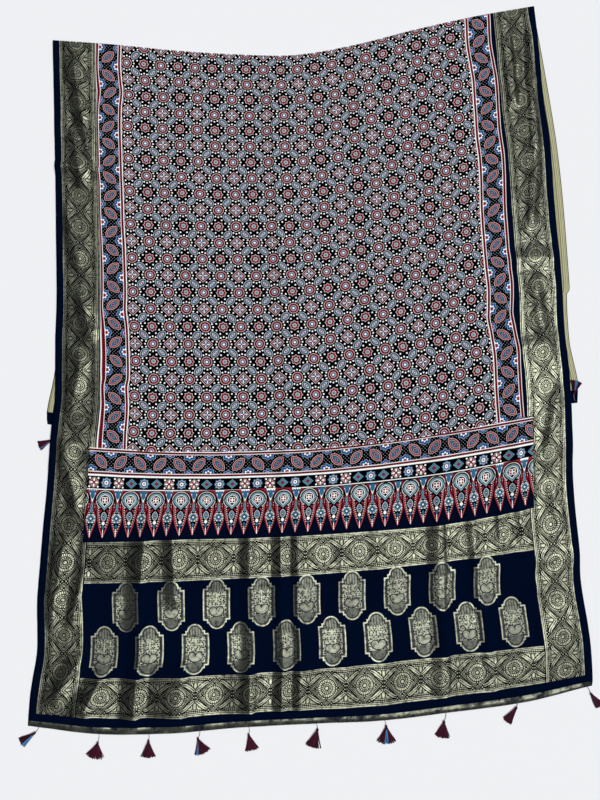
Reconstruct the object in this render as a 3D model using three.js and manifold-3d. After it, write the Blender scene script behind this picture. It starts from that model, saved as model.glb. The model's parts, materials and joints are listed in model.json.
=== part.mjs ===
// A printed and brocaded stole, laid out on the floor and folded once across its width.
// Ten tassels are tied to each end. Millimetres, +Z up, +X along the fold to the right and
// +Y from the front hem towards the fold. The origin is on the floor, on the flat underside
// of the lower layer.

import * as THREE from "three";
import { mergeVertices } from "three/addons/utils/BufferGeometryUtils.js";
import Module from "manifold-3d";

const wasm = await Module();
wasm.setup();

// ---------------------------------------------------------------- driving dimensions
const CLOTH = {
  thickness: 1.2,
  upperLength: 1490, // front hem to fold, along the cloth
  lowerLength: 910, // fold to back hem
  layerGap: 1.8, // between the two layers where they lie flat
  foldRadius: 3.0, // of the middle of the cloth, at the fold
  foldEase: 90, // how far from the fold the upper layer settles down
  riseLength: 65, // of the slope up to the back tassels
  tasselRoom: 6.4, // underside of the upper layer over the back tassels
  tasselReach: 76, // how far the back tassels reach past the back hem
  stepDown: 80, // length of the slope from there to the floor
};
const ROW_PITCH = 34; // of the mesh, along the cloth
const COLUMN_PITCH = 41; // of the mesh, across the cloth
const BEND_STEPS = 5; // round the fold
const SEAT_GAP = 0.42; // between a tassel's thread and the cloth it is tied to

// Weft lines of the upper layer: s is the distance from the front hem, left and right are X at
// the selvedges, and y0 to y4 are Y at the quarters of the width.
const UPPER_WEFTS = [
  { name: "front hem", s: 0, left: -542, right: 587, y0: -655, y1: -668, y2: -650, y3: -629, y4: -579 },
  { name: "end band", s: 103, left: -538, right: 589, y0: -562, y1: -564, y2: -549, y3: -522, y4: -490 },
  { name: "second band", s: 366, left: -535, right: 575, y0: -298, y1: -293, y2: -284, y3: -263, y4: -208 },
  { name: "print end", s: 554, left: -526, right: 576, y0: -98, y1: -112, y2: -105, y3: -71, y4: -22 },
  { name: "middle field", s: 866, left: -532, right: 574, y0: 208, y1: 197, y2: 203, y3: 245, y4: 300 },
  { name: "upper field", s: 1182, left: -552, right: 567, y0: 528, y1: 508, y2: 508, y3: 552, y4: 620 },
  { name: "fold", s: 1490, left: -575, right: 549, y0: 842, y1: 816, y2: 804, y3: 869, y4: 930 },
];
const FOLD_LINE = UPPER_WEFTS[UPPER_WEFTS.length - 1];
const BACK_HEM_LINE = { y0: -52, y1: -90, y2: -98, y3: -46, y4: -8 };

// Selvedges of the lower layer: d is the distance from the fold. The right one is tucked in
// a little at 680.
const LOWER_EDGES = [
  { name: "fold", d: 0, left: -575, right: 549 },
  { name: "upper part", d: 200, left: -560, right: 574 },
  { name: "middle", d: 440, left: -542, right: 590 },
  { name: "above the tuck", d: 668, left: -529, right: 592 },
  { name: "below the tuck", d: 690, left: -528, right: 586 },
  { name: "lower part", d: 790, left: -529, right: 586 },
  { name: "corner", d: 868, left: -540, right: 598 },
  { name: "back hem", d: 910, left: -538, right: 594 },
];

// Soft ridges in the upper layer. Each runs in the plan from (x1, y1) to (x2, y2), and its ends die
// out over fade times its length.
const RIDGES = [
  { name: "left storage crease", x1: -326, y1: -700, x2: -352, y2: -60, height: 5, reach: 55, fade: 0.3 },
  { name: "middle storage crease", x1: -25, y1: -700, x2: -31, y2: 860, height: 4, reach: 50, fade: 0.05 },
  { name: "right storage crease", x1: 287, y1: -680, x2: 294, y2: 400, height: 6, reach: 55, fade: 0.3 },
  { name: "long cross crease", x1: -540, y1: -412, x2: 600, y2: -330, height: 4, reach: 45, fade: 0.1 },
  { name: "left cross crease", x1: -600, y1: 222, x2: -120, y2: 215, height: 4, reach: 48, fade: 0.4 },
  { name: "upper cross crease", x1: -610, y1: 540, x2: 180, y2: 520, height: 4, reach: 48, fade: 0.4 },
  { name: "pleat in the right band", x1: 505, y1: 760, x2: 492, y2: 330, height: 8, reach: 48, fade: 0.35 },
  { name: "swell in the left band", x1: -470, y1: 800, x2: -462, y2: 430, height: 6, reach: 52, fade: 0.35 },
  { name: "left corner ripple", x1: -535, y1: -600, x2: -350, y2: -380, height: 7, reach: 60, fade: 0.4 },
  { name: "right corner ripple", x1: 380, y1: -560, x2: 560, y2: -300, height: 6, reach: 60, fade: 0.45 },
];

// Tassels of the front end: x is where the thread is tied, heading is turned from straight
// ahead (-Y) towards +X, in degrees, and spread is the whole fan of the skirt.
const FRONT_TASSELS = [
  { x: -520, thread: 13, threadHeading: -33, skirt: 33, heading: -56, spread: 30, strands: 9 },
  { x: -400, thread: 17, threadHeading: -4, skirt: 30, heading: -12, spread: 70, strands: 14 },
  { x: -301, thread: 13, threadHeading: 2, skirt: 31, heading: 1, spread: 48, strands: 12 },
  { x: -199, thread: 15, threadHeading: -14, skirt: 30, heading: 20, spread: 60, strands: 12 },
  { x: -102, thread: 15, threadHeading: 1, skirt: 30, heading: 13, spread: 44, strands: 12 },
  { x: 32, thread: 12, threadHeading: 15, skirt: 35, heading: -17, spread: 44, strands: 12 },
  { x: 168, thread: 12, threadHeading: 19, skirt: 33, heading: 0, spread: 70, strands: 14 },
  { x: 292, thread: 18, threadHeading: -15, skirt: 30, heading: -10, spread: 54, strands: 12 },
  { x: 435, thread: 9, threadHeading: -17, skirt: 33, heading: -38, spread: 26, strands: 8 },
  { x: 576, thread: 16, threadHeading: 30, skirt: 28, heading: 33, spread: 34, strands: 10 },
];

// Tassels of the back end. The first shows at the left edge of the upper layer. The last is
// turned back and rests on the lower layer's reverse, so its x and y give the place of its root.
const BACK_TASSELS = [
  { x: -524, thread: 32, threadHeading: -4, skirt: 30, heading: -65, spread: 32, strands: 9 },
  { x: -400, thread: 16, threadHeading: 5, skirt: 30, heading: 8, spread: 50, strands: 7 },
  { x: -290, thread: 15, threadHeading: -6, skirt: 30, heading: -10, spread: 50, strands: 7 },
  { x: -180, thread: 15, threadHeading: 3, skirt: 30, heading: 12, spread: 50, strands: 7 },
  { x: -65, thread: 16, threadHeading: -4, skirt: 30, heading: 0, spread: 50, strands: 7 },
  { x: 55, thread: 15, threadHeading: 6, skirt: 30, heading: -12, spread: 50, strands: 7 },
  { x: 175, thread: 15, threadHeading: 2, skirt: 30, heading: 10, spread: 50, strands: 7 },
  { x: 300, thread: 16, threadHeading: -5, skirt: 30, heading: -6, spread: 50, strands: 7 },
  { x: 420, thread: 15, threadHeading: 4, skirt: 30, heading: 8, spread: 50, strands: 7 },
  { x: 588, y: -2, thread: 17, threadHeading: -177, skirt: 27, heading: 163, spread: 48, strands: 10 },
];

const TASSEL = {
  threadSide: 1.6,
  threadOverlap: 1, // of the thread in the head
  headLength: 9, // bound neck and the start of the skirt, where the strands are fused
  headHeight: 5,
  neckWidth: 4.5,
  strandOverlap: 3, // of the strands in the head
  strandHeight: 2.6,
  strandShare: 0.62, // of the pitch between neighbouring strands
  unevenness: 0.07, // of the strands' lengths
};
// The bound head: how far along each section is, and its width and height as shares of the neck's.
const HEAD_SECTIONS = [
  { name: "tied end", along: -1.5, width: 0.6, height: 0.55 },
  { name: "top of the neck", along: 1, width: 1, height: 0.95 },
  { name: "foot of the neck", along: 3.5, width: 1, height: 1 },
];

// ---------------------------------------------------------------- the lie of the cloth
const { degToRad, lerp, smoothstep } = THREE.MathUtils;

// The cubic from p0 to p1 with slopes m0 and m1 at its ends, at f of its span.
function hermite(p0, p1, m0, m1, span, f) {
  const f2 = f * f;
  const f3 = f2 * f;
  const values = (2 * f3 - 3 * f2 + 1) * p0 + (3 * f2 - 2 * f3) * p1;
  const slopes = (f3 - 2 * f2 + f) * m0 + (f3 - f2) * m1;
  return values + slopes * span;
}

// A smooth curve through the points (at[i], values[i]), read at q.
function smoothCurve(at, values, q) {
  let i = 0;
  while (i < at.length - 2 && q > at[i + 1]) i += 1;
  const slope = (j) => {
    const a = Math.max(j - 1, 0);
    const b = Math.min(j + 1, at.length - 1);
    return (values[b] - values[a]) / (at[b] - at[a]);
  };
  const span = at[i + 1] - at[i];
  return hermite(values[i], values[i + 1], slope(i), slope(i + 1), span, (q - at[i]) / span);
}

const QUARTERS = [0, 0.25, 0.5, 0.75, 1];

// Y of a weft line at t of the width.
function acrossLine(line, t) {
  return smoothCurve(QUARTERS, [line.y0, line.y1, line.y2, line.y3, line.y4], t);
}

// One named column of a table.
function column(table, key) {
  return table.map((row) => row[key]);
}

// Plan position of a point of the upper layer, t of the width from the left selvedge and s from
// the front hem.
function upperPlan(t, s) {
  const at = column(UPPER_WEFTS, "s");
  const left = smoothCurve(at, column(UPPER_WEFTS, "left"), s);
  const right = smoothCurve(at, column(UPPER_WEFTS, "right"), s);
  const y = smoothCurve(at, UPPER_WEFTS.map((line) => acrossLine(line, t)), s);
  return { x: left + (right - left) * t, y };
}

// Plan position of a point of the lower layer, d from the fold.
function lowerPlan(t, d) {
  const at = column(LOWER_EDGES, "d");
  const left = smoothCurve(at, column(LOWER_EDGES, "left"), d);
  const right = smoothCurve(at, column(LOWER_EDGES, "right"), d);
  const y = lerp(acrossLine(FOLD_LINE, t), acrossLine(BACK_HEM_LINE, t), d / CLOTH.lowerLength);
  return { x: left + (right - left) * t, y };
}

function ridgeHeight(ridge, x, y) {
  const along = new THREE.Vector2(ridge.x2 - ridge.x1, ridge.y2 - ridge.y1);
  const length = along.length();
  const from = new THREE.Vector2(x - ridge.x1, y - ridge.y1);
  const share = from.dot(along) / (length * length);
  const away = Math.abs(from.cross(along)) / length / ridge.reach;
  if (share <= 0 || share >= 1 || away >= 1) return 0;
  const ends = smoothstep(Math.min(share, 1 - share), 0, ridge.fade);
  return ridge.height * ends * (1 - away * away) ** 2;
}

// Height of the upper layer's underside: over the lower layer and its tassels, down to the
// floor in front of them, and raised along the ridges.
function upperUnderside(x, y, t) {
  const overLayer = CLOTH.thickness + CLOTH.layerGap;
  const pastHem = acrossLine(BACK_HEM_LINE, t) - y;
  const rise = (CLOTH.tasselRoom - overLayer) * smoothstep(pastHem, -CLOTH.riseLength, 0);
  const fall = 1 - smoothstep(pastHem, CLOTH.tasselReach, CLOTH.tasselReach + CLOTH.stepDown);
  const settled = smoothstep(acrossLine(FOLD_LINE, t) - y, 0, CLOTH.foldEase);
  const foldRise = (2 * CLOTH.foldRadius - overLayer) * (1 - settled);
  const ridges = RIDGES.reduce((sum, ridge) => sum + ridgeHeight(ridge, x, y), 0);
  return (overLayer + rise) * fall + foldRise + ridges * settled;
}

// ---------------------------------------------------------------- the cloth's solid
// Even steps from one number to another, about a pitch apart.
function steps(from, to, pitch) {
  const count = Math.round(Math.abs(to - from) / pitch);
  return Array.from({ length: count + 1 }, (_, i) => from + ((to - from) * i) / count);
}

// Shares of the width at which the mesh has its columns.
const COLUMNS = steps(0, 1, COLUMN_PITCH / (FOLD_LINE.right - FOLD_LINE.left));

// One row of the section across the width: a point on the face and one on the reverse for each t.
function upperRow(s) {
  return COLUMNS.map((t) => {
    const { x, y } = upperPlan(t, s);
    const z = upperUnderside(x, y, t);
    return { face: [x, y, z + CLOTH.thickness], reverse: [x, y, z] };
  });
}

// One row of the bend, at an angle from level: 90 degrees at the upper layer, -90 at the lower.
function foldRow(angle) {
  const half = CLOTH.thickness / 2;
  const centre = half + CLOTH.foldRadius;
  return COLUMNS.map((t) => {
    const { x, y } = lowerPlan(t, 0);
    const point = (radius) => [x, y + radius * Math.cos(angle), centre + radius * Math.sin(angle)];
    return { face: point(CLOTH.foldRadius + half), reverse: point(CLOTH.foldRadius - half) };
  });
}

// One row of the lower layer, whose face is on the floor.
function lowerRow(d) {
  return COLUMNS.map((t) => {
    const { x, y } = lowerPlan(t, d);
    return { face: [x, y, 0], reverse: [x, y, CLOTH.thickness] };
  });
}

// A closed body from rows of face and reverse points.
function sheetGeometry(rows) {
  const columns = rows[0].length;
  const positions = [];
  const triangles = [];
  const points = rows.flat();
  points.forEach((point) => positions.push(...point.face));
  points.forEach((point) => positions.push(...point.reverse));
  const reverseStart = rows.length * columns;
  const face = (r, c) => r * columns + c;
  const reverse = (r, c) => reverseStart + face(r, c);
  const quad = (a, b, c, d) => triangles.push(a, b, c, a, c, d);
  for (let r = 0; r < rows.length - 1; r += 1) {
    for (let c = 0; c < columns - 1; c += 1) {
      quad(face(r, c), face(r, c + 1), face(r + 1, c + 1), face(r + 1, c));
      quad(reverse(r, c), reverse(r + 1, c), reverse(r + 1, c + 1), reverse(r, c + 1));
    }
    const last = columns - 1;
    quad(face(r, 0), face(r + 1, 0), reverse(r + 1, 0), reverse(r, 0));
    quad(face(r + 1, last), face(r, last), reverse(r, last), reverse(r + 1, last));
  }
  const end = rows.length - 1;
  for (let c = 0; c < columns - 1; c += 1) {
    quad(face(0, c + 1), face(0, c), reverse(0, c), reverse(0, c + 1));
    quad(face(end, c), face(end, c + 1), reverse(end, c + 1), reverse(end, c));
  }
  const geometry = new THREE.BufferGeometry();
  geometry.setAttribute("position", new THREE.Float32BufferAttribute(positions, 3));
  geometry.setIndex(triangles);
  return geometry;
}

function clothGeometry() {
  const bend = steps(Math.PI / 2, -Math.PI / 2, Math.PI / BEND_STEPS).slice(1, -1);
  return sheetGeometry([
    ...steps(0, CLOTH.upperLength, ROW_PITCH).map((s) => upperRow(s)),
    ...bend.map((angle) => foldRow(angle)),
    ...steps(0, CLOTH.lowerLength, ROW_PITCH).map((d) => lowerRow(d)),
  ]);
}

// ---------------------------------------------------------------- the tassels
const MERGE_DISTANCE = 1e-4;

function asManifold(geometry) {
  const merged = mergeVertices(geometry, MERGE_DISTANCE);
  return new wasm.Manifold(
    new wasm.Mesh({
      numProp: 3,
      vertProperties: new Float32Array(merged.attributes.position.array),
      triVerts: new Uint32Array(merged.index.array),
    }),
  );
}

function asGeometry(manifold) {
  const mesh = manifold.getMesh();
  const geometry = new THREE.BufferGeometry();
  geometry.setAttribute("position", new THREE.BufferAttribute(new Float32Array(mesh.vertProperties), 3));
  geometry.setIndex(new THREE.BufferAttribute(new Uint32Array(mesh.triVerts), 1));
  return geometry;
}

// A closed bar through stations { along, width, height }, lying on z = 0 and running along +X.
// corners are [share of the width, share of the height] round the section.
function bar(stations, corners) {
  const positions = [];
  const triangles = [];
  const sides = corners.length;
  for (const { along, width, height } of stations) {
    for (const [w, h] of corners) positions.push(along, w * width, h * height);
  }
  for (let i = 0; i < stations.length - 1; i += 1) {
    for (let k = 0; k < sides; k += 1) {
      const a = i * sides + k;
      const b = i * sides + ((k + 1) % sides);
      triangles.push(a, a + sides, b, b, a + sides, b + sides);
    }
  }
  const last = (stations.length - 1) * sides;
  for (let k = 1; k < sides - 1; k += 1) {
    triangles.push(0, k, k + 1);
    triangles.push(last, last + k + 1, last + k);
  }
  const geometry = new THREE.BufferGeometry();
  geometry.setAttribute("position", new THREE.Float32BufferAttribute(positions, 3));
  geometry.setIndex(triangles);
  return geometry;
}

const STRAND_RHYTHM = 2.4; // radians from one strand's length to the next in their unevenness
const STRAND_CORNERS = [[0.5, 0], [-0.5, 0], [0, 1]];
const THREAD_CORNERS = [[0.5, 0], [-0.5, 0], [-0.5, 1], [0.5, 1]];
const HEAD_CORNERS = [[0.5, 0], [-0.5, 0], [-0.5, 0.6], [-0.2, 1], [0.2, 1], [0.5, 0.6]];

// The bar laid from a point of the plan in the direction of a heading, counted from -Y.
function pointed(geometry, heading, from) {
  const angle = degToRad(heading) - Math.PI / 2;
  return geometry.rotateZ(angle).translate(from.x, from.y, 0);
}

// The point of the plan at a heading and a distance from the origin.
function headingStep(heading, length) {
  const angle = degToRad(heading) - Math.PI / 2;
  return { x: Math.cos(angle) * length, y: Math.sin(angle) * length };
}

// Thread, head and skirt fused into one body, with its root at the origin and resting on z = 0.
function tasselGeometry({ thread, threadHeading, skirt, heading, spread, strands }) {
  const neck = headingStep(threadHeading, thread);
  const threadBar = bar(
    [0, thread + TASSEL.threadOverlap].map((along) => ({
      along,
      width: TASSEL.threadSide,
      height: TASSEL.threadSide,
    })),
    THREAD_CORNERS,
  );
  const skirtTop = {
    along: TASSEL.headLength,
    width: Math.max(2 * TASSEL.headLength * Math.tan(degToRad(spread) / 2), TASSEL.neckWidth),
    height: TASSEL.strandHeight * 1.15,
  };
  const head = HEAD_SECTIONS.map(({ along, width, height }) => ({
    along,
    width: width * TASSEL.neckWidth,
    height: height * TASSEL.headHeight,
  }));
  const headBar = bar([...head, skirtTop], HEAD_CORNERS);
  const turn = spread / (strands - 1);
  const widthPerLength = degToRad(turn) * TASSEL.strandShare;
  let body = asManifold(pointed(threadBar, threadHeading, { x: 0, y: 0 }));
  body = body.add(asManifold(pointed(headBar, heading, neck)));
  for (let i = 0; i < strands; i += 1) {
    const length = skirt * (1 - TASSEL.unevenness * (1 - Math.cos(i * STRAND_RHYTHM)));
    const ends = [TASSEL.headLength - TASSEL.strandOverlap, length];
    const strandBar = bar(
      ends.map((along) => ({ along, width: along * widthPerLength, height: TASSEL.strandHeight })),
      STRAND_CORNERS,
    );
    body = body.add(asManifold(pointed(strandBar, heading - spread / 2 + turn * i, neck)));
  }
  return asGeometry(body);
}

function tasselMesh(name, tassel, root, floor, material) {
  const mesh = new THREE.Mesh(tasselGeometry(tassel), material);
  mesh.name = name;
  mesh.position.set(root.x, root.y, floor);
  return mesh;
}

// Y of a hem at x, on its straight stretches between the columns.
function hemY(plan, x) {
  const points = COLUMNS.map(plan);
  const next = Math.max(points.findIndex((point) => point.x > x), 1);
  const from = points[next - 1];
  const to = points[next];
  return lerp(from.y, to.y, (x - from.x) / (to.x - from.x));
}

// ---------------------------------------------------------------- the whole
const clothMaterial = new THREE.MeshStandardMaterial({ color: 0x1b2233, roughness: 0.7, metalness: 0 });
const tasselMaterial = new THREE.MeshStandardMaterial({ color: 0x5a1026, roughness: 0.6, metalness: 0 });

const stole = new THREE.Group();
const clothMesh = new THREE.Mesh(clothGeometry(), clothMaterial);
clothMesh.name = "cloth";
stole.add(clothMesh);

function addTassels(prefix, table, plan) {
  table.forEach((tassel, i) => {
    const name = `${prefix}_${String(i + 1).padStart(2, "0")}`;
    const onTop = tassel.y !== undefined;
    const cornerReach = (TASSEL.threadSide / 2) * Math.abs(Math.sin(degToRad(tassel.threadHeading)));
    const root = { x: tassel.x, y: onTop ? tassel.y : hemY(plan, tassel.x) - SEAT_GAP - cornerReach };
    const floor = onTop ? CLOTH.thickness + SEAT_GAP : 0;
    stole.add(tasselMesh(name, tassel, root, floor, tasselMaterial));
  });
}

addTassels("tassel_front", FRONT_TASSELS, (t) => upperPlan(t, 0));
addTassels("tassel_back", BACK_TASSELS, (t) => lowerPlan(t, CLOTH.lowerLength));

export default stole;
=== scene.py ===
# %% [markdown]
# # A printed and brocaded stole
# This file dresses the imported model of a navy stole: one wide woven cloth, block printed in the field and
# brocaded with gold thread along its sides and ends. It lies on a floor, folded once across its width, with ten
# tassels tied to each end. The model stays as it is. Everything below adds looks to it, in metres.

import json
import math

import bpy
import numpy as np
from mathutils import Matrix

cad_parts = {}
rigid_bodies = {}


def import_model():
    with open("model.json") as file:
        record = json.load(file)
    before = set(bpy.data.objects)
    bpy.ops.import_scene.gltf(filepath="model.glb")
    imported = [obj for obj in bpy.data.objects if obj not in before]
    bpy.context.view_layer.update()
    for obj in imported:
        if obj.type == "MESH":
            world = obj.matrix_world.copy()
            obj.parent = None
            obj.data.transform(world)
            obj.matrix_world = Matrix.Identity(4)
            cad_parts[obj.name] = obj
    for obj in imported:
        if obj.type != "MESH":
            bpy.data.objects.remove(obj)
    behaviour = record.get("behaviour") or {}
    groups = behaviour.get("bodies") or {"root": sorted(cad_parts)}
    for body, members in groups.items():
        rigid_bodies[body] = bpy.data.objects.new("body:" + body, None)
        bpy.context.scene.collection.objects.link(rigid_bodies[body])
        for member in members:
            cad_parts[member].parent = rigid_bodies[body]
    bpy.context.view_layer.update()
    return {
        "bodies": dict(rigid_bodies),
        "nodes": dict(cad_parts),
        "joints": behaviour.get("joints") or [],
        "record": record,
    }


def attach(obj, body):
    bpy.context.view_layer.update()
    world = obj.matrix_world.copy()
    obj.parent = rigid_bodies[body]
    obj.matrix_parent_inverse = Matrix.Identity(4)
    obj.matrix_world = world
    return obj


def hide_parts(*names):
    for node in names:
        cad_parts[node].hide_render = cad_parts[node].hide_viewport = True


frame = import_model()
MM = 0.001
print("nodes in the model:", len(frame["nodes"]))

# %% [markdown]
# ## The camera
# The stole is looked at from above its middle, leaning back a little, so its far end comes out smaller than its
# near end. A lens is given by its focal length against a 36 mm sensor, here the sensor's long side. The camera
# is only turned about X, by the angle it leans, so its upper edge stays towards the fold.

# %% Camera
CAMERA_PLACE = (0.0, -0.1771, 1.2764)
LENS, SENSOR = 27.05, 36.0
FAR_CLIP = 50.0

lens_data = bpy.data.cameras.new("camera")
lens_data.lens = LENS
lens_data.sensor_width = SENSOR
lens_data.clip_end = FAR_CLIP
camera = bpy.data.objects.new("camera", lens_data)
camera.location = CAMERA_PLACE
camera.rotation_euler = (math.atan2(-CAMERA_PLACE[1], CAMERA_PLACE[2]), 0.0, 0.0)
bpy.context.scene.collection.objects.link(camera)
bpy.context.scene.camera = camera
print("camera", round(math.hypot(*CAMERA_PLACE), 3), "m from the middle of the floor")

# %% [markdown]
# ## The lie of the cloth
# A laid cloth is easiest to place by its own threads. A weft line crosses the whole width, so a few of them, each
# with its Y at eighths of the width, say together with the two selvedges where the cloth lies. Between them the
# cloth runs smoothly, so a smooth curve through the table fills in the rest. All the tables are in millimetres.
# `s` is the length along the cloth from the front hem, and `d` the length from the fold.

# %% Sizes of the cloth
CLOTH_WIDTH = 1115.0
CLOTH_LENGTH = 2400.0
UPPER_LENGTH = 1490.0
LOWER_LENGTH = CLOTH_LENGTH - UPPER_LENGTH
THICKNESS = 1.2
LAYER_GAP = 1.8  # between the two layers
FOLD_RADIUS = 3.0  # of the middle of the cloth, round the fold
FOLD_EASE = 90.0  # how far from the fold the upper layer settles down
RISE_LENGTH = 65.0  # of the slope up to the back tassels
TASSEL_ROOM = 6.4  # under the upper layer, over the back tassels
TASSEL_REACH = 76.0  # how far the back tassels reach past the back hem
STEP_DOWN = 80.0  # length of the slope from there to the floor
print("one cloth of", CLOTH_WIDTH, "by", CLOTH_LENGTH, "mm")

# %% Weft lines of the upper layer, and its two selvedges
WEFT_LINES = [  # name, s, then Y at eighths of the width from the left selvedge
    ("front hem", 0, -655, -670, -669, -658, -651, -645, -629, -611, -579),
    ("hem band", 26, -631, -641, -640, -631, -625, -617, -600, -581, -556),
    ("end band", 103, -562, -566, -564, -557, -549, -537, -522, -508, -490),
    ("cartouches", 289, -381, -380, -376, -370, -363, -352, -337, -319, -297),
    ("second band", 366, -298, -298, -293, -290, -284, -275, -263, -239, -208),
    ("print end", 554, -95, -106, -112, -111, -105, -91, -71, -48, -22),
    ("middle field", 866, 208, 200, 197, 197, 203, 222, 245, 271, 300),
    ("upper field", 1182, 528, 516, 508, 505, 508, 527, 552, 584, 620),
    ("last row", 1416, 757, 750, 741, 735, 736, 759, 793, 825, 850),
    ("fold", 1490, 842, 831, 816, 806, 804, 830, 869, 903, 930),
]
LEFT_SELVEDGE = [  # s, X
    (0, -542), (54, -541), (96, -538), (154, -532), (256, -537), (331, -536), (441, -532), (500, -528),
    (586, -526), (652, -524), (790, -530), (880, -532), (1062, -544), (1189, -553), (1345, -564), (1490, -575),
]
RIGHT_SELVEDGE = [  # s, X
    (0, 586), (12, 588), (80, 589), (139, 585), (214, 577), (271, 578), (362, 574), (512, 576), (576, 578),
    (639, 579), (724, 574), (834, 575), (972, 570), (1161, 567), (1261, 559), (1390, 554), (1490, 549),
]
BACK_HEM = (-52, -74, -92, -98, -100, -82, -46, -22, -6)  # Y at eighths
LOWER_SELVEDGES = [  # name, d, left X, right X
    ("fold", 0, -575, 549), ("upper part", 110, -566, 562), ("tick", 232, -556, 575), ("middle", 330, -549, 584),
    ("low middle", 450, -541, 590), ("above the tuck", 640, -530, 593), ("tuck", 668, -529, 592),
    ("below the tuck", 676, -528, 586), ("lower part", 780, -528, 585), ("print end", 815, -531, 590),
    ("corner", 866, -539, 598), ("corner turn", 890, -541, 596), ("back hem", 910, -538, 594),
]
EIGHTHS = np.linspace(0.0, 1.0, 9)
FOLD_LINE = WEFT_LINES[-1][2:]
print(len(WEFT_LINES), "weft lines,", len(LOWER_SELVEDGES), "rows of the lower layer")

# %% A smooth curve through a table
def smooth_curve(at, values, q):
    """Reads the smooth curve through the rows (at, values) at every q; values may have columns."""
    at, values, q = np.asarray(at, float), np.asarray(values, float), np.asarray(q, float)
    flat = values.reshape(len(at), -1)
    slope = np.empty_like(flat)
    slope[1:-1] = (flat[2:] - flat[:-2]) / (at[2:] - at[:-2])[:, None]
    slope[0] = (flat[1] - flat[0]) / (at[1] - at[0])
    slope[-1] = (flat[-1] - flat[-2]) / (at[-1] - at[-2])
    i = np.clip(np.searchsorted(at, q, side="right") - 1, 0, len(at) - 2)
    span = (at[i + 1] - at[i])[:, None]
    f = ((q - at[i]) / (at[i + 1] - at[i]))[:, None]
    rise = 3 * f**2 - 2 * f**3
    bend = (f**3 - 2 * f**2 + f) * slope[i] + (f**3 - f**2) * slope[i + 1]
    read = (1 - rise) * flat[i] + rise * flat[i + 1] + span * bend
    return read.reshape((len(q),) + values.shape[1:])


def smooth_step(q, low, high):
    """0 up to low, 1 from high on, and a smooth slope between them."""
    f = np.clip((q - low) / (high - low), 0.0, 1.0)
    return f * f * (3 - 2 * f)


print("fold line at the middle of the width:", smooth_curve(EIGHTHS, FOLD_LINE, [0.5]))

# %% Where a thread crossing lies in the plan
def read_table(table, q):
    """Reads a table of pairs at every q; past its ends it keeps its last value."""
    at, values = zip(*table)
    return smooth_curve(at, values, np.clip(q, at[0], at[-1]))


def upper_plan(s, t):
    """X and Y of the upper layer for lengths s and shares t of the width, as two grids."""
    left, right = read_table(LEFT_SELVEDGE, s), read_table(RIGHT_SELVEDGE, s)
    lines = smooth_curve(EIGHTHS, np.array([row[2:] for row in WEFT_LINES], float).T, t).T
    y = smooth_curve([row[1] for row in WEFT_LINES], lines, s)
    return left[:, None] + (right - left)[:, None] * t[None, :], y


def lower_plan(d, t):
    """The same for the lower layer, d from the fold."""
    _, rows, *sides = zip(*LOWER_SELVEDGES)
    left, right = (smooth_curve(rows, side, d) for side in sides)
    fold, hem = (smooth_curve(EIGHTHS, line, t) for line in (FOLD_LINE, BACK_HEM))
    share = (d / LOWER_LENGTH)[:, None]
    return left[:, None] + (right - left)[:, None] * t[None, :], fold * (1 - share) + hem * share


corner_x, corner_y = upper_plan(np.array([0.0]), np.array([0.0, 1.0]))
print("front corners at", corner_x.round(), corner_y.round())
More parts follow.
